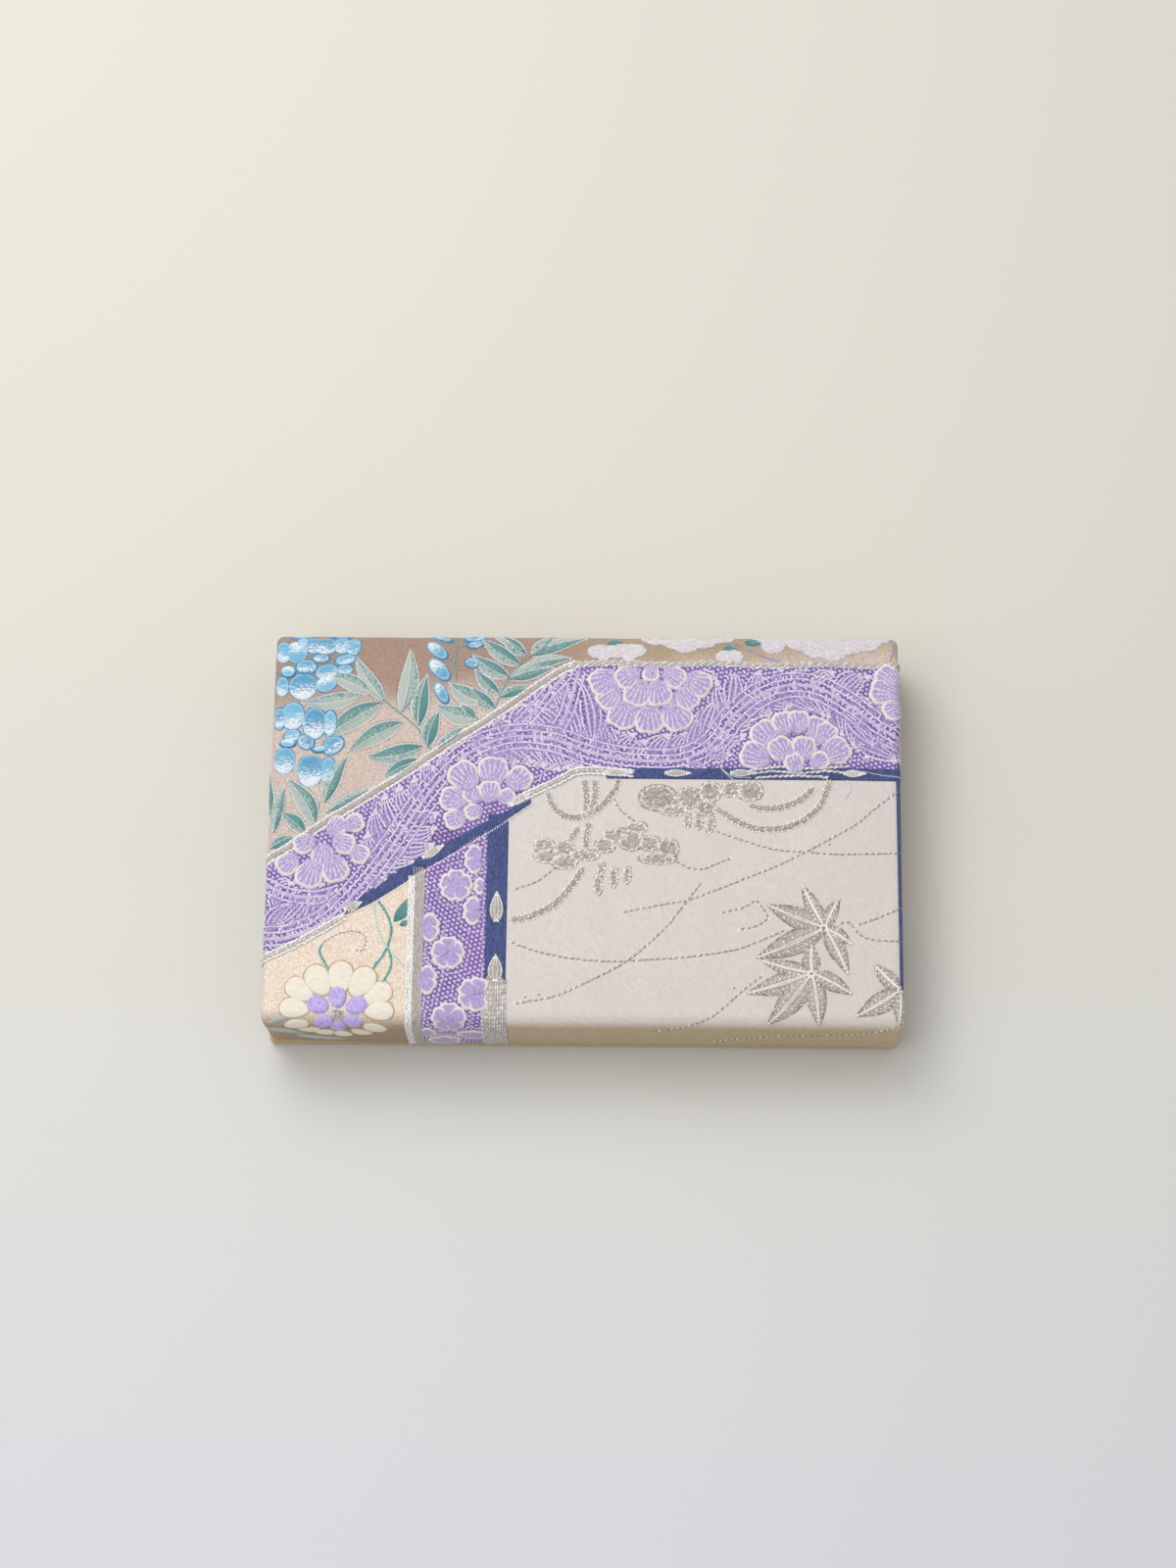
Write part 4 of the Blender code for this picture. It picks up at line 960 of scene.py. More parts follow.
# Wisteria. Each petal: u, v, half width, half height, angle, fade, tone
WISTERIA = (
    (-110, 77, 6, 1.2, 0, 0, 0.7), (-95, 77.5, 5, 1.2, 0, 0, 0.7),
    (-117, 70, 3.5, 5, 0, 1, 0.4), (-112, 70, 4.7, 5, 0, -1, 0.3), (-109.5, 74.5, 3, 2, 0, 0.2, 0),
    (-90, 72.5, 3.2, 4.4, -10, 0.4, 0.5), (-94.5, 73, 3.8, 4, 0, 0.6, 0.3),
    (-105.5, 73, 4.2, 3.9, 0, 0.6, 0.8),
    (-101, 72.7, 5.2, 4, 0, 0.9, 0.9), (-93, 67, 4.8, 2.4, 12, 1, 0.4), (-102.5, 67.5, 4, 2.1, 0, 0.6, 0.9),
    (-115, 62, 3.2, 2.6, 0, -1.4, 0), (-108, 64, 4.5, 3.2, 0, 1, 0.7), (-108, 62.4, 2.6, 1.5, 10, -2, 0),
    (-117, 56, 3, 4.8, 0, 1, 0.4), (-93, 63, 3.7, 2.4, 0, 0.8, 0.6), (-100, 57, 4.7, 3.7, 20, -1.2, 0.1),
    (-100, 62, 5.2, 3.4, 10, 1, 0.6), (-109, 56, 5.9, 5.9, 0, 1.2, 0.9),
    (-117.5, 43, 2.8, 5.2, 0, 0.6, 1), (-112.5, 44, 5, 6.2, 0, 1.1, 0.2), (-98, 41, 3, 6.2, 0, 0.7, 0.3),
    (-104, 41, 5.1, 7.1, 0, 1.1, 1), (-112.5, 36, 3.7, 2.9, 20, 0.8, 0.2), (-114, 33, 3.6, 2, 0, -2, 0),
    (-107, 33.5, 3.8, 3.2, -35, 0.4, 1), (-96.5, 32, 5, 3.6, 35, 0.7, 0.8),
    (-101.5, 30.5, 3.6, 1.5, 5, -2, 0),
    (-98, 22, 3.4, 6.4, 0, 0.8, 0.4), (-115, 26, 4.7, 6, 0, 1, 0.5), (-105, 22, 5.7, 7.1, 0, 1.2, 0.9),
)
# Buds, white at the upper end: u, v, half width, half length, angle, fade, tone
BUDS = (
    (-57.5, 71, 2.8, 5.6, 50, -1.2, 0.6), (-56.5, 63, 3.2, 6.2, 42, -1.2, 0.7),
    (-55.5, 53.5, 2.5, 5.4, 28, -1.2, 0.7),
    (-55.5, 77, 1.9, 4.8, 62, -0.8, 0.8), (-43, 77, 2.2, 5, 102, 0.4, 0.8),
    (-43, 73.5, 1.8, 3.6, 100, 0.4, 1),
    (-44, 66, 2.4, 3, 80, 0.2, 1),
)
woven(petals("wisteria_petals", WISTERIA + BUDS, PETAL, 0.5, lift=0.12), "flap_fold")

# Each leaf: base u, v, tip u, v, half width, bend, tone from teal 0 to sage 1
LEAVES = (
    (-77, 50, -89.5, 69, 3.2, 1, 0.8), (-71, 45, -68, 72, 4, -1.5, 0.85), (-82, 53, -101, 61, 3.5, -1, 0.75),
    (-86, 53, -110, 49.5, 3.5, 1.5, 0.8), (-78, 49.5, -101, 34, 4.5, -1, 0.5),
    (-70, 41.5, -91, 29, 4, -1, 0.55),
    (-64, 40, -61, 61.5, 3.8, 1, 0.2), (-60.5, 31.5, -56, 46.5, 3.5, 1, 0.15),
    (-62, 32, -84, 27.5, 4.3, 1.5, 0.4),
    (-63, 26.5, -77, 19, 3, -1, 0.15), (-57, 31, -47, 40.5, 2.8, -0.6, 0.25),
    (-41, 43, -58, 48.5, 4, 1, 0.65),
    (-40, 50, -53, 58, 4, 1, 0.6), (-99, 9, -90.5, 28, 3.6, 1.5, 0.45), (-98.5, 5, -81, 15, 2.2, 0.8, 0.5),
    (-102, 0, -114, 19, 4, -1.5, 0.55), (-118, -3, -114, 16, 2.8, 1, 0.5),
    (-106, -3, -116, 5.5, 3, -0.8, 0.3),
    (-119, -9, -110, -4, 2.5, 0.5, 0.1), (-119.5, 3, -121, 22, 2.6, 0.5, 0.1),
    (-23, 69, -33, 79, 3, 0.8, 0.3), (-21, 70, -13, 79, 3, -0.8, 0.35), (-22, 69, 1, 77.5, 3.3, 1, 0.55),
    (-25, 65, -41, 77, 3.3, 1, 0.4), (-25, 63.5, -5, 68, 2.8, 1.2, 0.55), (-29.5, 59.5, -12, 64, 3.6, 1, 0.5),
    (-29.5, 60, -44, 69.5, 3.5, 1, 0.4), (-33, 53, -43, 63.5, 2.8, 0.8, 0.3),
    (-33, 52, -20.5, 56, 2.5, 0.8, 0.2),
    (-35, 47.5, -44, 56, 3, 0.8, 0.3), (-42, 43, -48, 49, 3, 0.6, 0.2), (-24, 71, -38, 84, 2.8, 0.8, 0.4),
)


def outlined_leaves(name, rows, body, lift=0.12, size=1.0):
    """Leaves with midrib and outline in a white and a dark thread side by side. size scales their heights."""
    woven(leaves(name, rows, LEAF, 0.45 * size, lift=lift), body)
    found = leaf_stitches(rows, (0.08,), 0.9, 1.1, 0.5, 0.36 * size, lift + 0.32 * size, (0.8, 1.0), 0.15)
    found += leaf_stitches(rows, (-0.1,), 1.1, 0.85, 0.45, 0.34 * size, lift + 0.32 * size, (0.0, 0.3))
    found += leaf_stitches(rows, (-0.9, 0.9), 0.9, 1.15, 0.55, 0.4 * size, lift + 0.1 * size, (0.8, 1.0),
                           0.15)
    found += leaf_stitches(rows, (-1.1, 1.1), 1.25, 0.9, 0.5, 0.3 * size, lift + 0.05 * size, (0.0, 0.4))
    return woven(stitch_piece(name + "_outline", found, VEIN), body)


outlined_leaves("brocade_leaves", LEAVES, "flap_fold")

# White and lilac-white blossoms along the top edge
CLOUDS = (
    (6, 71, 5.8, 3.2, 0, 0, 0.5), (12, 71.5, 6.2, 3.4, 0, 0, 0.5), (18, 71.5, 5.4, 3.2, 0, 0, 0.5),
    (6.5, 69, 2.3, 2.2, 0, 0, 0.5), (16.5, 68.5, 2.5, 2.4, 0, 0, 0.5), (27, 79, 6.5, 5.5, 0, 0, 0.5),
    (34, 77, 6.5, 5, 0, 0, 0.5), (38, 75, 6, 4.6, 0, 0, 0.5), (45, 77, 6.5, 4.8, 0, 0, 0.5),
    (52, 79, 6, 4.2, 0, 0, 0.5),
    (39, 81, 14, 5, 0, 0, 0.5), (53, 69, 3.2, 2.8, 0, 0, 0.5), (57.5, 69, 3.2, 2.8, 0, 0, 0.5),
    (55.3, 71, 2.9, 2.8, 0, 0, 0.5), (72, 74.5, 5, 4.4, 0, 0, 0.5), (69, 78, 6, 3.5, 0, 0, 0.5),
    (74, 77, 5.4, 3.8, 0, 0, 0.5), (83, 76, 6.2, 4.7, 0, 0, 0.5), (89, 73.5, 6.2, 5.2, 0, 0, 0.5),
    (95, 72, 6, 4.8, 0, 0, 0.5), (101, 74.5, 6.4, 4.6, 0, 0, 0.5), (108, 76, 6.2, 4.8, 0, 0, 0.5),
    (97, 80, 17, 5.5, 0, 0, 0.5), (113, 79, 4.7, 4, 0, 0, 0.5),
)
woven(petals("white_blossoms", CLOUDS, WHITE, 0.4, count=13, lift=0.15, step_up=0.01, lobes=0.05),
      "flap_fold")
cloud_rows = []
for u, v, wide, tall, *_ in CLOUDS:
    turn = np.linspace(math.pi, 2 * math.pi, 7)
    for share in (0.92, 0.5):
        arc = np.column_stack((u + wide * share * np.cos(turn), v + tall * share * np.sin(turn)))
        cloud_rows.append(stitches_on(arc, 1.5, 1.5, 0.4, 0.22, lift=0.5, tilt=0.15, tone=(0.2, 1.0),
                                      twist=0.4))
woven(stitch_piece("white_blossom_threads", cloud_rows, CLOUD_THREAD), "flap_fold")
CALYX = ((8, 74.2, 14, 75.5, 1.7, 0.3, 0), (11, 73.5, 11, 77, 1.4, 0, 0), (52.5, 72, 58, 72.2, 1.6, 0.6, 0),
         (61.5, 74.5, 68, 74.8, 1.6, 0.3, 0), (61, 75.5, 66, 76.5, 1.1, 0, 0))
woven(leaves("teal_calyxes", CALYX, LEAF, 0.6, lift=0.2), "flap_fold")
STEMS = (((-50, 59), (-50.3, 66), (-50, 73), (-50, 79)), ((-50, 66), (-54, 68)), ((-50, 72), (-45, 74)),
         ((-77, 50), (-71, 45), (-65, 40), (-62, 36), (-60, 32)),
         ((-24, 70), (-26, 64), (-30, 59), (-33, 52), (-35, 47)),
         ((-101, 9), (-102, 2), (-104, -2)), ((-86, 54), (-81, 52.5), (-77, 50)), ((-58, 30), (-60, 32)))
TWIGS = (((5, 74), (6, 76), (8, 79)), ((3, 67), (3.5, 69)),
         ((51, 77), (58, 74), (64, 71), (70, 68.5), (75, 67)),
         ((117, 78), (118.5, 73), (117, 68)))
for name, lines, mat in (("teal_stems", STEMS, TEAL), ("periwinkle_twigs", TWIGS, PERIWINKLE)):
    rows = [stitches_on(line, 0.8, 1.2, 0.8, 0.5, tilt=0.35, lift=0.1, tone=(0.6, 1.0),
                        twist=0.5) for line in lines]
    woven(stitch_piece(name, rows, mat), "flap_fold")

# Blossoms in the purple band: each flower's centre, then its petals' centre u, v, half width, half height
BAND_BLOSSOMS = (
    ((25, 67), ((7, 58.5, 5, 5.5), (16, 60.5, 5, 4), (25, 62, 4, 2.5), (34, 60.5, 5, 3.5), (43, 58, 5, 5),
                (9, 52, 5, 4),
                (39, 52, 4.4, 4.4), (14.5, 45.5, 5.5, 5.5), (35, 45, 5.2, 6), (24.5, 43.5, 5, 5.5),
                (20, 54, 4.5, 5.5),
                (28, 54, 4.2, 5.5))),
    ((82, 22), ((65, 29, 5.5, 5), (69, 37.5, 5.5, 5), (92, 38, 3.8, 4.5), (88, 40, 4, 5), (76, 42, 3.6, 5),
                (81.5, 42.5, 3.6, 5), (95.5, 31, 5, 5.5), (75, 31.5, 4.5, 5), (83.5, 32, 3.9, 5),
                (80, 26, 4.5, 3),
                (89.5, 27, 4, 3))),
    ((126, 53), ((118, 48, 3.4, 4.4), (114.5, 55, 5.5, 4.4), (116, 61, 5, 4))),
    ((-36, 8), ((-46, 20, 4.5, 6.5), (-35, 22, 5, 6), (-25, 19, 4.6, 4.6), (-50, 11, 4.6, 4.6),
                (-49, 3, 4, 3.6),
                (-29.5, 12, 3.4, 3), (-42.5, 13, 3.6, 3.6), (-36, 14, 4, 4), (-42, 6, 3.4, 3))),
    ((-98, -4), ((-112, -15, 4.2, 4), (-106, -7, 4, 3.8), (-94, 0, 4, 3.6), (-87.5, 1, 3.8, 3.4),
                 (-91, -7, 4, 3.8),
                 (-85, -11, 3.4, 3.8), (-103.5, -19, 5, 5), (-94, -17, 4.8, 4.8), (-99, -11.5, 3.8, 4.6))),
)
BAND_ROWS = [row for centre, rows in BAND_BLOSSOMS for row in outward(centre, rows, 1.12, 1.25)]
woven(petals("band_blossoms", BAND_ROWS, BLOSSOM, 0.45, 0.2, 13, lift=0.3, taper=0.16, notch=0.1, lobes=0.03))


def ring_of_petals(u, v, radius, count=5, start=90.0):
    """A flower's petals as rows for petals(): count notched ellipses round a centre."""
    angles = np.radians(start + 360 / count * np.arange(count))
    rows = [(u + radius * 0.5 * math.cos(a), v + radius * 0.5 * math.sin(a), radius * 0.5,
             radius * 0.56) for a in angles]
    return outward((u, v), rows, 1.0, 1.0)


STRIP_FLOWERS = (
    (-38.6, -12.8, 7), (-48, -23.1, 6.7), (-37.4, -23.4, 4.2), (-38.8, -33, 6.8), (-60, -39.6, 6.8),
    (-61, -49.4, 4.6), (-50.4, -49.3, 6.7), (-60.5, -59.7, 6.8), (-39.8, -65.2, 7), (-49.5, -74.8, 7),
    (-60, -85, 6),
    (-41, -88, 6.5), (-52, -97, 6.5),
)
STRIP_ROWS = [row for u, v, radius in STRIP_FLOWERS
              for row in ring_of_petals(u, v, radius, start=36.0 if u < -55 else 144.0 if u > -42 else 90.0)
              if -59.6 + row[2] * 0.4 < row[0] < -36.6 - row[2] * 0.4]
woven(petals("strip_flowers", STRIP_ROWS, STRIP_BLOSSOM, 0.4, 0.2, 11, lift=0.3, step_up=0.02, taper=0.2,
             notch=0.2))

# The chrysanthemum on the gold ground
MUM_PETALS = (
    (-90, -91, 4, 4), (-97, -89, 4, 4.2), (-82, -87, 4, 4), (-103, -86, 4.4, 3.8), (-76, -82, 4.4, 3.6),
    (-108, -80, 4.6, 3.6), (-109, -71, 5, 4.4), (-107, -63, 5, 4.6), (-74, -72, 5, 4.2), (-75, -64.5, 5, 4.6),
    (-99.5, -59, 5, 5.4), (-81.5, -59.5, 5, 5.4), (-90.3, -57.5, 4.8, 5.6),
)
MUM_CENTRE = (-91, -73)
woven(petals("chrysanthemum_petals", outward(MUM_CENTRE, MUM_PETALS, 0.98, 1.35, 1.6), MUM, 0.4, count=11,
             lift=0.15,
             step_up=0.02, taper=0.22))
MUM_HEART = ((-98.5, -69.5, 4, 3.8), (-91.3, -66.5, 3.6, 3.8), (-84, -69.7, 3.9, 3.8), (-96.3, -77, 3.6, 3.4),
             (-85.5, -76.8, 3.6, 3.2), (-91, -80, 3, 3.4))
woven(petals("chrysanthemum_heart", outward(MUM_CENTRE, MUM_HEART, 0.95, 1.15), HEART_FILL, 0.5, count=11,
             lift=0.4,
             step_up=0.03, taper=0.1))
woven(stitch_piece("chrysanthemum_bead", [stitches_on(((-92.6, -73 + row), (-89.4, -73 + row)), 0.8, 1.2, 0.8,
                                                      0.5,
                                                      tilt=0.8, lift=0.5, twist=0.6) for row in (-1.2, 0.0,
                                                          1.2)], SILVER))
woven(leaves("pale_corner_leaves", ((-118, -79, -106, -73.5, 1.8, 0.4, 0.8),
                                    (-122, -86, -104, -95, 4, 1, 0.75),
                                    (-110, -97, -88, -99, 3, -1, 0.7)), LEAF, 0.35, lift=0.12))
GOLD_STEMS = ((((-77, -29.5), (-73, -36), (-72, -42), (-74, -49), (-79, -56.5)), 1.4),
              (((-73, -47), (-71.5, -54), (-74.5, -61)), 1.3),
              (((-94.5, -56.5), (-98.5, -50), (-98.2, -47)), 1.3))
rows = [stitches_on(line, 0.75, 1.2, width, 0.5, tilt=0.5, lift=0.1, tone=(0.5, 1.0), twist=0.3)
        for line, width in GOLD_STEMS]
woven(stitch_piece("gold_ground_stems", rows, TEAL))
woven(stitch_piece("pale_stem", [stitches_on(((-79, -30), (-77, -40), (-72, -49), (-66, -55)), 0.75, 1.2, 1.2,
                                             0.5,
                                             tilt=0.5, lift=0.1, tone=(0.6, 1.0), twist=0.3)], PALE_STEM))
woven(leaves("teal_gold_leaf", ((-71.2, -37.5, -64.5, -26.5, 2.8, -0.8, -0.3),
                                (-69, -38.8, -64.6, -37.5, 1.4, 0.3, -0.3)),
             LEAF, 0.4, lift=0.12))


# Rows of lilac stitches in the purple band

def in_band(u, v, margin):
    """True inside the purple band, away from its edges by a margin, and off its blossoms."""
    low = np.interp(u, *np.array(BAND_LOW).T) + margin
    high = np.interp(u, *np.array(CORD).T) - margin
    found = (v > low + 0.6 * (u < -20)) & (v < high - 0.6) & (np.abs(u) < 124)
    for at_u, at_v, wide, tall, angle, _, _ in BAND_ROWS:
        turn = math.radians(angle)
        right = (u - at_u) * math.cos(turn) + (v - at_v) * math.sin(turn)
        up = (v - at_v) * math.cos(turn) - (u - at_u) * math.sin(turn)
        found &= (right / (wide + 0.5)) ** 2 + (up / (tall + 0.5)) ** 2 > 1
    return found


def plumes_from(stem, spacing, side, reach, half, lean):
    """Plume rows for lens(): they leave a stem at even distances, lean forward, and end inside the band."""
    path = smooth_line(stem, spacing)
    found = []
    for (u, v), angle in zip(path[1:-1], headings(path)[1:-1]):
        turn = angle + side * lean
        for length in (reach, reach * 0.8, reach * 0.6, reach * 0.45):
            tip = np.array([u + length * math.cos(turn), v + length * math.sin(turn)])
            if in_band(*tip, 0.8):
                found.append((u, v, *tip, half * math.sqrt(length / reach), side * 0.14 * length, 0))
                break
    return found


VINES = (
    ((-126, -44), (-112, -44), (-98, -38), (-86, -26), (-74, -10), (-64, 6), (-54, 20), (-42, 31), (-28, 36),
     (-12, 35),
     (2, 30), (18, 27), (36, 27), (48, 33), (56, 44), (66, 53), (78, 57.5), (90, 56), (102, 49), (112, 41),
     (126, 33)),
    ((-122, -22), (-112, -27), (-100, -28), (-90, -25)), ((-30, 36), (-22, 44), (-14, 54), (-8, 61)),
    ((-14, 35), (-8, 44), (-5, 54), (-3, 62)), ((-48, 27), (-52, 33)),
)
PLUMES = [
    (3, 34, -3, 60, 5, -3, 0), (-2, 34, -14, 57, 4, -2, 0), (-8, 34, -24, 49, 3.5, -2, 0),
    (7, 30, 3, 44, 3, -1, 0),
    (12, 31, 5, 46, 3, 1, 0), (-24, 33, -36, 45, 3.6, 1, 0), (-32, 35, -46, 34, 3.4, 1, 0),
    (57, 62, 54, 48, 4.5, 2, 0), (50, 50, 44, 36, 4, 1, 0), (60, 52, 72, 44, 3, 1, 0),
    (100, 46, 110, 33, 3.8, 1.5, 0), (104, 34, 119, 27, 4, 1.5, 0), (58, 38, 46, 28, 4, -1, 0),
    (-104, -28, -116, -40, 3.4, 1.4, 0), (-98, -27, -104, -40, 3.2, -1, 0), (106, 62, 96, 54, 3.4, 1, 0),
    (50, 60, 44, 64, 2.4, 1, 0),
]
for side, lean in ((1, 0.95), (-1, 0.85)):
    PLUMES += plumes_from(VINES[0], 7.5, side, 17, 3.9, lean)
for vine in VINES[1:3]:
    for side in (1, -1):
        PLUMES += plumes_from(vine, 7.0, side, 9, 2.8, 0.8)

taken = np.zeros((440, 300), bool)


def room_for(rows, margin=0.9):
    """The stitches of one figure that lie in the band, off its blossoms and off the figures before it."""
    rows = np.vstack(rows)
    rows = rows[in_band(rows[:, 0], rows[:, 1], margin)]
    cells = np.floor((rows[:, :2] + (132, 112)) / 0.6).astype(int)
    free = ~taken[cells[:, 0], cells[:, 1]]
    cells = cells[free]
    for du in (-1, 0, 1):
        for dv in (-1, 0, 1):
            taken[cells[:, 0] + du, cells[:, 1] + dv] = True
    return rows[free]


lilac_rows, plum_rows = [], []
for vine, reach in zip(VINES, (4.8, 2.4, 2.4, 2.4, 2.4)):
    broad = [stitches_on(vine, 1.3, 2.2, 1.5, 0.4, lift=0.4, tone=(0.35, 0.6))]
    for offset in np.arange(-reach, reach + 0.1, 2.4):
        if offset:
            broad.append(stitches_on(vine, 1.35, 1.9, 0.78, 0.42, offset=offset, lift=0.42, tone=(0.7, 1.0)))
    lilac_rows.append(room_for(broad))
for plume in PLUMES:
    pale = leaf_stitches([plume], (-1.0, -0.5, 0.0, 0.5, 1.0), 1.4, 1.9, 0.8, 0.42, 0.4, (0.75, 1.0),
                         tilt=0.1)
    dots = leaf_stitches([plume], (-0.75, -0.25, 0.25, 0.75), 1.9, 1.0, 0.72, 0.34, 0.36, (0.0, 0.4),
                         tilt=0.3)
    kept = room_for(pale + dots)
    lilac_rows.append(kept[kept[:, 7] > 0.5])
    plum_rows.append(kept[kept[:, 7] <= 0.5])
inside_band = ((-125, -49), (-110, -43), (-100, -37.5), (-88, -29), (-70, -14), (-50, -0.5), (-30, 11),
               (-8, 23.5),
               (2, 26.5), (126, 26.8))
inside_cord = ((-125, -17.5), (-110, -10), (-90, 3.6), (-60, 24), (-30, 44.5), (-8, 60.5), (2, 63),
               (126, 62.4))
for line, offsets in ((inside_band, (0.6, 2.0)), (inside_cord, (-0.4, -1.8))):
    lilac_rows.append(room_for([stitches_on(line, 1.35, 1.0, 0.66, 0.36, offset=offset, tilt=0.5, lift=0.36,
                                            tone=(0.3, 0.9)) for offset in offsets], 0.5))
for u, v, radius in STRIP_FLOWERS:
    turn = np.radians(np.arange(0, 361, 12))
    edge = radius * (1.24 + 0.07 * np.cos(5 * (turn - math.pi / 2)))
    echo = stitches_on(np.column_stack((u + edge * np.cos(turn), v + edge * np.sin(turn))), 1.15, 0.9, 0.6,
                       0.36, lift=0.34,
                       tone=(0.3, 0.9))
    lilac_rows.append(echo[(echo[:, 0] > -59) & (echo[:, 0] < -37.2)])
for line in (((-58.9, -16), (-58.9, -104)), ((-37.4, -2), (-37.4, -104))):
    lilac_rows.append(stitches_on(line, 1.15, 0.9, 0.6, 0.34, lift=0.34, tone=(0.3, 0.9)))
woven(stitch_piece("lilac_rows", lilac_rows, LILAC))
woven(stitch_piece("plum_dots", plum_rows, PLUM))
woven(leaves("lilac_plumes", PLUMES, LILAC_FILL, 0.16, 0.0, lift=0.27))

# Silver cords, whipped at both edges, and lozenges on the navy bands
SLOPE = ((-125, -16.4), (-120, -13.4), (-110, -7.2), (-100, 0.2), (-90, 6.8), (-80, 13.4), (-70, 20),
         (-60, 27.3), (-50, 34.4),
         (-40, 41), (-30, 48), (-20, 55.5), (-10, 62.6), (-4, 65.6))
LEVEL = ((-6, 65.2), (10, 66.4), (30, 65.6), (50, 66.4), (70, 65.4), (90, 66.2), (110, 65.6), (125, 65.8))
LOWER = ((-125, -54.4), (-120, -52), (-110, -47.3), (-100, -41.8), (-90, -35.6))
TURN = ((-28, 9.5), (-20, 13.6), (-10, 18.6), (-2, 22.4), (10, 22.4), (18, 21.6))
woven(ribbons("silver_cords", ((SLOPE, 1.1, 0.45, 0.3), (LEVEL, 1.2, 0.5, 0.3), (LOWER, 1.3, 0.45, 0.3),
                               (TURN, 1.3, 0.45, 0.4)), SILVER_BAND))
whipping = []
for side in (-1.0, 1.0):
    whipping.append(stitches_on(SLOPE, 0.95, 1.5, 0.8, 0.55, offset=1.4 * side, tilt=(1.1 * side, 0.5 * side),
                                lift=0.4,
                                tone=(0.9, 1.0)))
    for line, reach in ((LOWER, 1.1), (TURN, 1.15)):
        whipping.append(stitches_on(line, 1.0, 2.2, 1.0, 0.55, offset=reach * side, tilt=(0.5 * side, 0.1),
                                    lift=0.45,
                                    tone=(0.9, 1.0), twist=0.15))
        whipping.append(stitches_on(line, 1.9, 2.0, 0.7, 0.5, tilt=(0.4, 0.0), lift=0.6, tone=(0.5, 1.0)))
    whipping.append(stitches_on(LEVEL, 1.4, 2.6, 0.85, 0.6, offset=0.9 * side, tilt=(0.25, -0.3), lift=0.4,
                                tone=(0.5, 1.0), twist=0.4))
whipping.append(stitches_on(LEVEL, 1.6, 3.0, 0.8, 0.6, offset=0.0, tilt=(0.5, -0.2), lift=0.55,
                            tone=(0.8, 1.0), twist=0.6))
whipping.append(stitches_on(NAVY_LOW, 1.0, 1.1, 0.5, 0.4, offset=-0.3, tilt=0.9, lift=0.35, tone=(0.85, 1.0)))
UPRIGHT = ((-64.8, -20), (-64.8, -60), (-64.8, -104))
for offset, lean in ((0.9, 0.8), (0.0, 0.5), (-0.9, 0.2)):
    whipping.append(stitches_on(UPRIGHT, 0.85, 1.6, 0.75, 0.5, offset=offset, tilt=(lean, lean - 0.5),
                                lift=0.5,
                                tone=(0.85, 1.0)))
whipping.append(stitches_on(((-60, -18), (-60, -60), (-60, -104)), 1.0, 0.9, 0.45, 0.3, tilt=0.3, lift=0.45,
                            tone=(0.3, 0.7)))
for line in (((63, 21.6), (72, 22.8), (82, 22), (92, 23), (101, 22.2)),
             ((63, 23), (74, 24.6), (86, 24), (100, 24.8)),
             ((66, 20.2), (78, 21), (92, 20.6))):
    whipping.append(stitches_on(line, 1.1, 2.2, 0.85, 0.55, tilt=(0.3, -0.2), lift=0.55, tone=(0.7, 1.0),
                                twist=0.5))
for row in range(22):
    v_row = -60 - 2 * row
    whipping.append(stitches_on(((-37, v_row), (-33, v_row - 0.6), (-28.6, v_row)), 0.9, 2.0, 0.6, 0.35,
                                tilt=1.45,
                                lift=0.45, tone=(0.35, 1.0)))
LOZENGES = (
    (-90, -33, -83.5, -30, 1.9, 0, 0), (-61, -12.5, -53, -7.5, 1.6, 0, 0), (-28, 9, -20.5, 13.5, 1.5, 0, 0),
    (7, 21.8, 18, 22, 1.4, 0, 0), (30.5, 21.8, 40.5, 21.8, 1.3, 0, 0), (55.5, 22, 64.5, 22, 1.3, 0, 0),
    (98.5, 22, 107, 22, 1.3, 0, 0), (-32.5, -37.5, -32.5, -25.5, 2.6, 0, 0),
    (-32.5, -60.5, -32.5, -50, 2.9, 0, 0),
)
woven(leaves("silver_lozenges", LOZENGES, SILVER_BAND, 0.5, 0.0, lift=0.35))
whipping += leaf_stitches(LOZENGES, (-0.85, -0.3, 0.3, 0.85), 1.0, 1.3, 0.6, 0.3, 0.75, (0.7, 1.0), 0.2, 0.4)
woven(stitch_piece("silver_whipping", whipping, SILVER))
woven(stitch_piece("silver_tendril", [stitches_on(
    ((-98.2, -47), (-97, -45), (-92, -42), (-85, -41), (-81, -44), (-82, -48.5), (-85.5, -49)), 0.8, 1.4,
    0.75, 0.5,
    offset=(0.35, -0.35), tilt=(0.6, -0.1), lift=0.15, tone=(0.8, 1.0), twist=0.7)], SILVER))

# Fine line work on the ivory satin
FINE_LINES = (
    ((120, 16), (110, 8), (103, 2), (93, -4), (84, -9), (72, -15), (60, -20), (48, -25), (40, -28), (30, -30),
     (15, -33)),
    ((-27, -45), (-15, -49), (0, -51.5), (12, -52), (30, -51), (45, -49.5), (60, -46.5), (75, -40)),
    ((-25, -68.5), (-10, -65.5), (0, -61), (10, -56), (18, -51), (26, -44), (32, -38), (38, -30), (44, -22)),
    ((50, -1), (60, -4.5), (72, -8), (84, -9), (95, -9.8), (108, -9.5), (123, -8.8)),
    ((-26, -24.5), (-17, -21), (-12, -17), (-8, -14)),
    ((67.5, -57), (60, -63), (50, -72), (40, -78), (28, -82)),
    ((120, -76), (112, -80), (100, -84), (85, -87), (70, -90), (50, -98)),
    ((11, 12), (14, 7), (20, 2)), ((33, -12), (40, -15.5), (45, -16), (50, -14), (56, -11.5)),
    ((52, -33), (60, -31), (65, -28)), ((65, -28), (68, -31.5), (70, -35)),
    ((59, -39.5), (65, -38), (70, -35)),
    ((96.5, -37), (100, -36.5), (104, -41), (109, -43), (123, -43.5)), ((103, -37.5), (112, -34), (123, -29)),
)
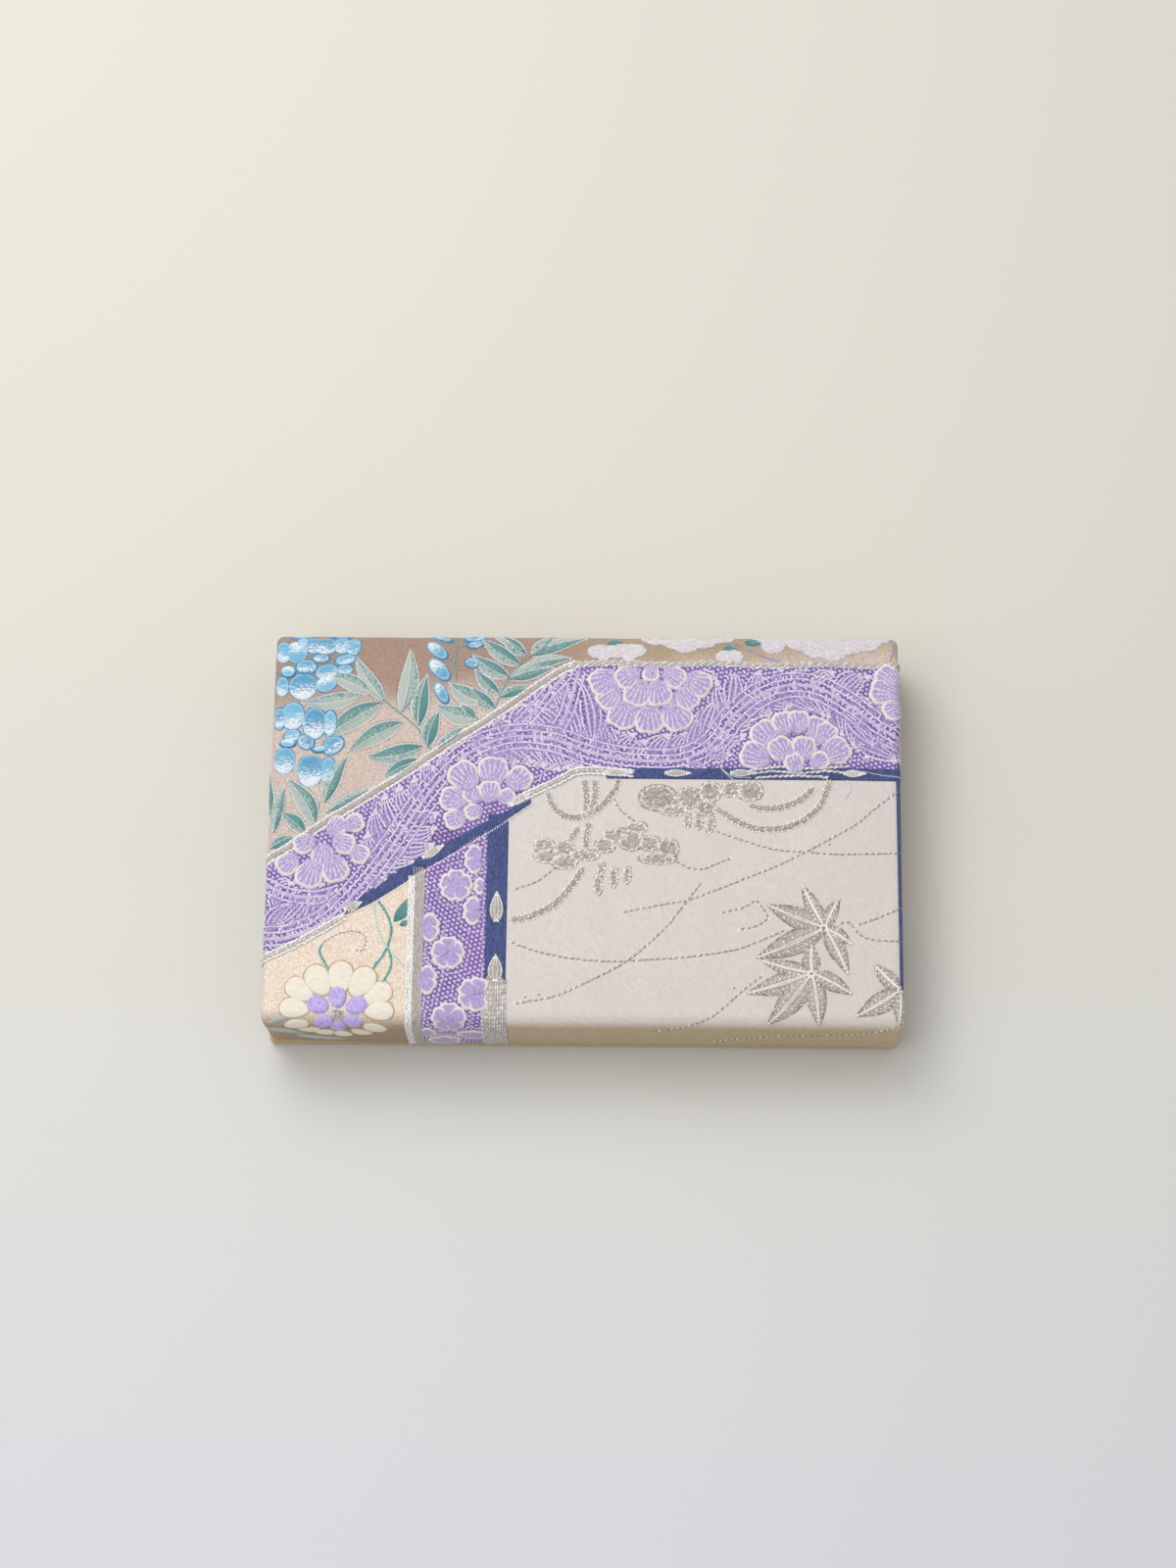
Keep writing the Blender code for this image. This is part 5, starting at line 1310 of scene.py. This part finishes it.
BOLD_LINES = (
    ((-27, -36.5), (-20, -35), (-12, -31), (-6, -25), (0, -16)),
    ((63, 9), (70, 8), (78, 9.5), (84, 13), (87, 16)),
    ((50, 8), (58, 3), (66, 0), (76, 0.5), (84, 4), (90, 10), (93.5, 19)),
    ((-14, 14), (-12, 9), (-8, 5), (-3, 4), (3, 6), (8, 10), (12, 16), (13, 19)), ((0, 19), (1, 10), (0, 4)),
    ((4, 19), (4, 12), (1.5, 5)), ((-2, 0), (-5, -5)), ((2, 2), (1, -4), (1, -8)),
)
line_rows = [stitches_on(line, 1.15, 1.9, 0.8, 0.42, tilt=(0.35, 0.0), tone=(0.5, 1.0),
                         twist=0.75) for line in FINE_LINES]
for line in BOLD_LINES:
    for side in (-1, 1):
        line_rows.append(stitches_on(line, 1.35, 1.75, 0.7, 0.5, offset=1.15 * side, tilt=(0.8 * side, 0.2),
                                     lift=0.1,
                                     tone=(0.8, 1.0), twist=0.2))
    line_rows.append(stitches_on(line, 1.7, 1.5, 0.7, 0.42, tilt=(0.5, 0.2), lift=0.2, tone=(0.3, 0.9),
                                 twist=0.3))
SHADE_LINES = [(line, 1.3, 0.2, 0.05) for line in BOLD_LINES] + [(line, 0.36, 0.16,
                                                                  0.02) for line in FINE_LINES]
woven(ribbons("satin_line_shade", SHADE_LINES, BRONZE_SHADE))

# Blossom clusters: u, v, half width, half height, angle, fade, tone
CLUSTERS = (
    (-15, -7, 4, 2.6, 10, 0, 0), (-14, -11.5, 5, 2.6, -8, 0, 0), (-7, -8, 3.6, 3, 0, 0, 0),
    (-7, -13.5, 5, 2.8, 8, 0, 0),
    (0, -11, 6, 2, 0, 0, 0), (8, -7, 4, 3, 0, 0, 0), (12, -3, 5, 2.6, 20, 0, 0), (18, -5, 4.6, 4, 0, 0, 0),
    (20, 0, 4, 2.2, 10, 0, 0), (25, -6, 4, 3, 0, 0, 0), (32, -8, 4, 4, 0, 0, 0), (28, -12, 7, 2.2, 0, 0, 0),
    (28, 12, 7, 5, 0, 0, 0), (40, 12, 5, 4, 0, 0, 0), (48, 14.5, 4.2, 4, 0, 0, 0), (56, 15.5, 4, 3, 0, 0, 0),
    (63, 15, 5, 4, 0, 0, 0), (46, 8, 4, 3, 0, 0, 0), (34, 7, 5, 2.2, 0, 0, 0),
    (5.5, -22.5, 1.6, 4, 8, 0, 0), (11.5, -19.5, 1.5, 4, 0, 0, 0), (16.5, -18.5, 1.3, 3.5, 0, 0, 0),
    (6.5, -16, 1.4, 2.4, 0, 0, 0),
    (39, 3, 1.3, 3, 10, 0, 0), (43.5, 3, 1.5, 3.5, 0, 0, 0), (48, 1.5, 1.4, 3.5, -15, 0, 0),
)
JOINED = [(u, v, wide * 1.16, tall * 1.16, *rest) for u, v, wide, tall, *rest in CLUSTERS]
woven(petals("silver_clusters", JOINED, BRONZE_FILL, 0.2, 0.0, 9, step_up=0.01, lift=0.05))
for u, v, wide, tall, angle, _, _ in CLUSTERS:
    turn = np.linspace(0, 2 * math.pi, 13)
    ring = np.column_stack((u + wide * 0.9 * np.cos(turn), v + tall * 0.9 * np.sin(turn)))
    line_rows.append(stitches_on(ring, 1.3, 1.9, 0.85, 0.5, tilt=(0.9, -0.2), lift=0.2, tone=(0.85, 1.0),
                                 twist=0.35))
    for share in (-0.4, 0.1, 0.55):
        reach = wide * 0.72 * math.sqrt(1 - share ** 2)
        line_rows.append(stitches_on(((u - reach, v + share * tall), (u + reach, v + share * tall + 0.8)),
                                     1.5, 2.0, 0.72,
                                     0.45, tilt=(0.6, -0.3), lift=0.25, tone=(0.3, 1.0), twist=0.4))

# Maple leaves: centre, then the tip and half width of each lobe
MAPLES = (
    (91, -38.5, ((82.5, -21.5, 2.6), (96.5, -27, 2.3), (101, -45, 2.3), (99.5, -56.5, 3), (65, -50.5, 4.2),
                 (69, -29.5, 3.6))),
    (86, -56, ((61.5, -64, 3.6), (67.5, -51.5, 2.6), (86, -45, 3), (101, -64, 2.9), (88.5, -77, 3.3),
               (69, -77, 4))),
    (119, -62, ((109, -52, 2.6), (102, -72.5, 3.5), (118, -76, 2.6))),
)
LOBES = [(u, v, tip_u, tip_v, half * 1.12, 0.4, 0.5) for u, v, tips in MAPLES for tip_u, tip_v, half in tips]
woven(leaves("maple_leaves", LOBES, MAPLE_FILL, 0.25, 0.08, 29, 0.05, 0.32))
line_rows += leaf_stitches(LOBES, (-0.09, 0.09), 1.0, 1.4, 0.62, 0.4, 0.3, (0.9, 1.0), 0.08)
line_rows += leaf_stitches(LOBES, (-0.95, 0.95), 1.0, 1.6, 0.6, 0.36, 0.12, (0.0, 0.7), 0.5, 0.55)
line_rows += leaf_stitches(LOBES, (-0.42, 0.58), 1.8, 1.4, 0.6, 0.36, 0.34, (0.65, 1.0), 0.25, 0.8)
woven(stitch_piece("satin_line_work", line_rows, BRONZE))

# Loose thread ends and specks
LOOSE_ENDS = (((50, 60 - 33), (53, 23), (57, 20.6), (63, 20.2)), ((106, 23), (113, 21.6), (120, 21)),
              ((58, 18), (52, 25), (60, 33)), ((100, 19), (101, 15.5), (99, 12.5)), ((92, 20), (95, 16)))
woven(stitch_piece("loose_thread_ends", [stitches_on(line, 0.7, 1.0, 0.28, 0.3, lift=0.5, tone=(0.7, 1.0),
                                                     wander=0.0)
                                         for line in LOOSE_ENDS], LOOSE))
SPECKS = np.array([(u, v, 0.3 * i, 0.7, 0.6, 0.2, 0.05, 0.5) for i, (u, v) in enumerate(
    ((57, -62), (-21, -66), (-16, -65), (93, -6), (30, 40)))])
woven(stitch_piece("dark_specks", [SPECKS], SPECK))

# The picture goes on down the back: a guess, in the same cloth
BACK_CORD = ((-126, 176), (-60, 174), (-20, 160), (20, 148), (126, 146))
BACK_BAND = ((-126, 214), (-60, 212), (-20, 198), (20, 188), (126, 186))
woven(field("back_tan", TAN, 0.14, ((-126, MID_SPINE), (126, MID_SPINE)), BACK_CORD), "back_fold")
woven(field("back_purple", PURPLE, 0.14, BACK_CORD, BACK_BAND, step=2.0), "bag")
BACK_LEAVES = [(-u * 0.9 + 20, 190 - v, -tip_u * 0.9 + 20, 190 - tip_v, half, bend, tone)
               for u, v, tip_u, tip_v, half, bend, tone in LEAVES[:13]]
outlined_leaves("back_leaves", BACK_LEAVES, "back_fold", 0.0, 0.5)
SPINE_BLOSSOMS = [(u, 181 - v, wide, tall, 0, 0, 0.5) for u, v, wide, tall, *_ in CLOUDS[5:]]
woven(petals("spine_blossoms", SPINE_BLOSSOMS, WHITE, 0.25, count=13, lift=0.05, step_up=0.005, lobes=0.05),
      "back_fold")
BACK_FLOWERS = [row for u in (-96, -52, 44, 92) for row in ring_of_petals(u,
    194 - 12 * float(u > 0) * (u / 60), 9.5, 8)]
woven(petals("back_blossoms", BACK_FLOWERS, BLOSSOM, 0.25, 0.05, 11, lift=0.05, step_up=0.005, taper=0.16,
             notch=0.1), "bag")
woven(ribbons("back_cords", ((BACK_CORD, 1.5, 0.3, 0.05), (BACK_BAND, 1.6, 0.3, 0.05)), SILVER_BAND, 2.0),
      "bag")


# The inside: linings, pouch, folded sides and pocket

def run_length(path):
    """The length of a path of runs."""
    return path[-1][1] - path[0][0]


def runs(*parts):
    """A path for along() from (length or (radius, turn), angle) parts, laid end to end from 0."""
    found, at, angle = [], 0.0, parts[0]
    for part in parts[1:]:
        if isinstance(part, tuple):
            radius, turn = part
            found.append((at, at + radius * abs(turn), radius, angle, angle + turn))
            at, angle = at + radius * abs(turn), angle + turn
        else:
            found.append((at, at + part, 0.0, angle, angle))
            at += part
    return tuple(found)


def cloth_on(path, start, lift):
    """Place (x, s, lift) on a cloth that follows a path, with a faint slack; lift is towards the path's
    inside."""
    def place(x, s, height):
        x, s, height = np.broadcast_arrays(np.asarray(x, float), np.asarray(s, float),
                                           np.asarray(height, float))
        y, z, angle = along(path, start, s)
        slack = 0.07 * np.sin(0.06 * x + 0.05 * s) * np.sin(0.11 * s - 0.03 * x)
        inside = lift + height + slack
        return np.stack((x, y - np.cos(angle) * inside, z - np.sin(angle) * inside), axis=-1)
    return place


def lining(name, path, start, half):
    """A lining cloth along a path, facing its inside, and the place function of its stitches."""
    place = cloth_on(path, start, 0.0)
    marks = np.unique([end for run in path for end in run[:2]])
    s = np.unique(np.concatenate([spaced(a, b, 0.6 if b - a < 4 else 3.0) for a, b in zip(marks, marks[1:])]))
    x, s = np.meshgrid(spaced(-half, half, 3.0), s)
    return piece(name, place(x, s, 0.0), grid_quads(*x.shape)[:, ::-1], LINING,
                 np.stack((x, s), axis=-1)), place


def lined(name, path, start, half, border, joint=None):
    """A lining with slip stitches along both sides, attached to the bag, or, with a joint, left unparented
    with its transform baked into the mesh.
    """
    cloth, place = lining(name, path, start, half)
    rows = [stitches_on(((side * (half - border), 4), (side * (half - border), run_length(path) - 4)), 3.4,
                        1.3, 0.4, 0.25,
                        tone=(0.2, 0.8)) for side in (-1, 1)]
    stitches = stitch_piece(name + "_stitches", rows, SEAM, place)
    for made in (cloth, stitches):
        if joint:
            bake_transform(made)
        else:
            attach(made, "bag")
    return cloth


DEEP = PANEL - 0.15
INNER_Y = FOLD_Y + FOLD - DEEP
flap_path = runs(math.pi, TOP - DEEP - 1.2 - 8.2, (1.2, -math.pi / 2), INNER_Y - 1.5 - (FRONT + DEEP + 1.2),
                 (1.5, -math.pi / 2), TOP - DEEP - 1.5 - TOP / 2)
flap_lining = lined("flap_lining_cloth", flap_path, (FRONT + DEEP, 8.2), 116.0, 3.4, ("flap", "spine"))
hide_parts("flap_lining", "spine_lining")
back_path = runs(0.0, TOP / 2 - DEEP - 1.5, (1.5, -math.pi / 2), INNER_Y - 1.5 + 74.0)
back_lining = lined("back_lining_cloth", back_path, (INNER_Y, TOP / 2), 116.0, 3.4, ("bag", "spine"))
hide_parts("back_lining")

POUCH_DEPTH = 3.1
POUCH_ROUND = POUCH_DEPTH / 2
POUCH_FRONT = -71.7
POUCH_TOP = 25.5
POUCH_BEND = 4.1
MOUTH = 58.5
POUCH_HALF = 118.0
pouch_path = runs(math.pi, POUCH_TOP - POUCH_BEND - LIP_TIP - POUCH_ROUND, (POUCH_BEND, -math.pi / 2),
                  MOUTH - POUCH_ROUND - (POUCH_FRONT + POUCH_BEND))
POUCH_ENDS = (0.0, run_length(pouch_path))


def on_pouch(u, v, height):
    """Place on the pouch's front panel, with a little slack in the middle of its mouth."""
    u, v = np.asarray(u, float), np.asarray(v, float)
    slack = -0.35 * smooth(POUCH_ENDS[1] - 45, POUCH_ENDS[1], v) * smooth(0, 70, 110 - np.abs(u))
    return on_panel(pouch_path, (POUCH_FRONT, LIP_TIP + POUCH_ROUND), POUCH_ENDS, POUCH_HALF, POUCH_DEPTH, u,
                    v,
                    height + slack * np.where(np.abs(u) > POUCH_HALF, -1.0, 1.0))


pouch_run = POUCH_ROUND * math.pi / 2
pouch_v = np.unique(np.round(np.concatenate((spaced(-pouch_run, 0, 0.4), spaced(0, 14.5, 2.5),
                                             spaced(14.5, 21, 0.9),
                                             spaced(21, POUCH_ENDS[1], 3.0),
                                             spaced(POUCH_ENDS[1] - 1.1, POUCH_ENDS[1], 0.3),
                                             spaced(POUCH_ENDS[1], POUCH_ENDS[1] + pouch_run, 0.4))), 3))
pouch_loop = padded_loop(POUCH_HALF, POUCH_DEPTH, 3.0, 0.5, pouch_v, POUCH_ENDS)
pouch_shell = woven(shell("pouch_brocade", on_pouch, pouch_loop, POUCH_SATIN), "bag")
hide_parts("pouch_cover")
inner_path = runs(math.pi, POUCH_TOP - 3.0 - 1.1 - 8.4, (1.1, -math.pi / 2), 55.6 - (POUCH_FRONT + 3.0 + 1.1))
pouch_lining = lined("pouch_lining_cloth", inner_path, (POUCH_FRONT + 3.0, 8.4), 114.4, 1.6)
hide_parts("pouch_lining")


def closed_cloth(points):
    """Quads of a cloth with two faces: each row of points runs over the one face and back over the other.

    Both ends are closed by quads between the two faces.
    """
    rows, columns = points.shape[:2]
    near = np.arange(columns // 2 - 1)
    far = columns - 1 - near
    first = np.stack((near, far, far - 1, near + 1), axis=-1)
    last = np.stack((near, near + 1, far - 1, far), axis=-1) + (rows - 1) * columns
    return np.concatenate((grid_quads(rows, columns, closed=True), first, last))


def folded_side(name, side):
    """A side of the pouch: cloth folded inwards in a V, sewn flat to the back lining and to the pouch's
    front.

    The section is a smooth line through the seams and the fold. The fold wanders a little along the bag.
    """
    s = spaced(0, 1, 0.035)
    y = spaced(-68.2, 58.4, 3.0)
    wander = 0.5 * np.sin(0.09 * y + side) + 0.35 * np.sin(0.23 * y)
    low, high = 5.75, 21.65
    bulge = np.array([116.6, 114.6, 112.6, 109.4, 106.4, 105.2, 106.4, 109.4, 112.6, 114.6, 116.6])
    rise = np.array([0.0, 0.0, 0.045, 0.2, 0.38, 0.5, 0.62, 0.8, 0.955, 1.0, 1.0])
    share = np.linspace(0, 1, 11)
    x = np.interp(s, share, bulge)
    z = low + (high - low) * np.interp(s, share, rise)
    deep = (116.6 - x) / 11.4
    normal = np.stack((-np.gradient(z), np.gradient(x)))
    normal = normal / np.linalg.norm(normal, axis=0)
    faces = []
    for way in (1, -1):
        at_x = x + way * 0.3 * normal[0] + deep * wander[:, None]
        at_z = z + way * 0.3 * normal[1]
        faces.append(np.stack(np.broadcast_arrays(side * at_x, y[:, None], at_z), axis=-1))
    points = np.concatenate((faces[0], faces[1][:, ::-1]), axis=1)
    quads = closed_cloth(points)
    girth = np.concatenate(([0], np.cumsum(np.hypot(np.diff(x), np.diff(z)))))
    uv = np.stack(np.broadcast_arrays(np.concatenate((girth, girth[::-1])), y[:, None]), axis=-1)
    obj = piece(name, points, quads[:, ::-1] if side < 0 else quads, LINING, uv)
    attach(obj, "bag")
    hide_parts("gusset_left" if side < 0 else "gusset_right")
    return obj


folded_side("left_folded_side", -1)
folded_side("right_folded_side", 1)


def on_pocket(x, y, height):
    """Place on the slip pocket: a patch that swells a little in the middle, with a hem along its mouth."""
    half = 65 - 6 + np.sqrt(np.clip(36 - np.clip(6 - (y + 36.5), 0, 6) ** 2, 0, None))
    edge = np.minimum(half - np.abs(x), y + 36.5)
    swell_up = 0.9 * smooth(0, 12, edge) + 0.25 * smooth(0, 1.2, edge) * smooth(39.4, 40.2, y)
    return np.stack(np.broadcast_arrays(x, y, 5.25 + swell_up * 0.85 + height), axis=-1)


def slip_pocket():
    """The pocket's patch as a closed cloth: its face, and a back that lies on the lining."""
    y = np.unique(np.concatenate((spaced(-36.5, -30.5, 0.7), spaced(-30.5, 38, 3.0), spaced(38, 42, 0.5),
                                  spaced(42, 48.5, 1.5))))
    half = 59 + np.sqrt(np.clip(36 - np.clip(6 - (y + 36.5), 0, 6) ** 2, 0, None))
    share = np.concatenate(([-1, -0.994], spaced(-0.98, 0.98, 0.05), [0.994, 1]))
    x = half[:, None] * share
    y = np.broadcast_to(y[:, None], x.shape)
    top = on_pocket(x, y, 0.0)
    low = top.copy()
    low[..., 2] = 4.95
    points = np.concatenate((top, low[:, ::-1]), axis=1)
    uv = np.stack((points[..., 0] + 0.3, points[..., 1]), axis=-1)
    return piece("slip_pocket_cloth", points, closed_cloth(points)[:, ::-1], LINING, uv)


pocket = slip_pocket()
PATCH = ((-63.4, 47), (-63.4, -29), (-61.5, -33), (-57.5, -34.9), (0, -34.9), (57.5, -34.9), (61.5, -33),
         (63.4, -29), (63.4, 47))
HEM = ((-64, 40), (0, 40), (64, 40))
pocket_stitches = stitch_piece("slip_pocket_stitches",
                               [stitches_on(line, 2.2, 1.3, 0.4, 0.25, tone=(0.2, 0.8), wander=0.04)
                                                        for line in (PATCH, HEM)], SEAM, on_pocket)
for made in (pocket, pocket_stitches):
    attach(made, "bag")
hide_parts("slip_pocket")

# Finishes for the CAD's own nodes
for node, mat in (("back_wadding", WADDING), ("spine_wadding", WADDING), ("flap_wadding", WADDING),
                  ("back_board", BOARD),
                  ("spine_board", BOARD), ("flap_board", BOARD), ("pouch_board", BOARD),
                  ("snap_socket", NICKEL),
                  ("snap_stud", NICKEL), ("socket_plate", NICKEL), ("stud_plate", NICKEL)):
    for material_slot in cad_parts[node].material_slots:
        material_slot.material = mat


# Stage, camera and lights

def stage_setup():
    """A pale floor under the bag, a pale world and soft lamps."""
    floor_mesh = bpy.data.meshes.new("floor")
    reach = 3.0
    low = -0.0004
    floor_mesh.from_pydata([(-reach, -reach, low), (reach, -reach, low), (reach, reach, low),
                            (-reach, reach, low)], [],
                           [(0, 1, 2, 3)])
    floor_mesh.materials.append(floor_finish())
    floor = bpy.data.objects.new("floor", floor_mesh)
    bpy.context.scene.collection.objects.link(floor)
    world = bpy.data.worlds.new("pale_room")
    world.use_nodes = True
    background = world.node_tree.nodes["Background"]
    background.inputs["Color"].default_value = (1.0, 0.99, 0.97, 1.0)
    background.inputs["Strength"].default_value = 0.55
    bpy.context.scene.world = world
    for name, place, size, power in (("key_lamp", (-0.45, 0.7, 1.1), 0.9, 9.0),
                                     ("fill_lamp", (-0.45, -0.15, 1.3), 1.0, 4.3)):
        lamp = bpy.data.lights.new(name, "AREA")
        lamp.shape = "SQUARE"
        lamp.size = size
        lamp.energy = power
        made = bpy.data.objects.new(name, lamp)
        bpy.context.scene.collection.objects.link(made)
        made.location = place
        made.rotation_euler = (-Vector(place)).to_track_quat("-Z", "Y").to_euler()


def camera_setup():
    """The photograph's camera: 72 mm lens on a 36 mm frame, looking down on the bag."""
    lens_data = bpy.data.cameras.new("camera")
    lens_data.lens = 72.0
    lens_data.sensor_width = 36.0
    camera = bpy.data.objects.new("camera", lens_data)
    bpy.context.scene.collection.objects.link(camera)
    forward = Vector((-0.0230, 0.2953, -0.9551)).normalized()
    right = Vector((0.9997, 0.0128, -0.0201))
    right = (right - forward * right.dot(forward)).normalized()
    up = right.cross(forward)
    turn = Matrix((right, up, -forward)).transposed().to_4x4()
    camera.matrix_world = Matrix.Translation((0.0288, -0.3355, 1.1759)) @ turn
    bpy.context.scene.camera = camera


stage_setup()
camera_setup()
bpy.context.scene.view_settings.view_transform = "Standard"
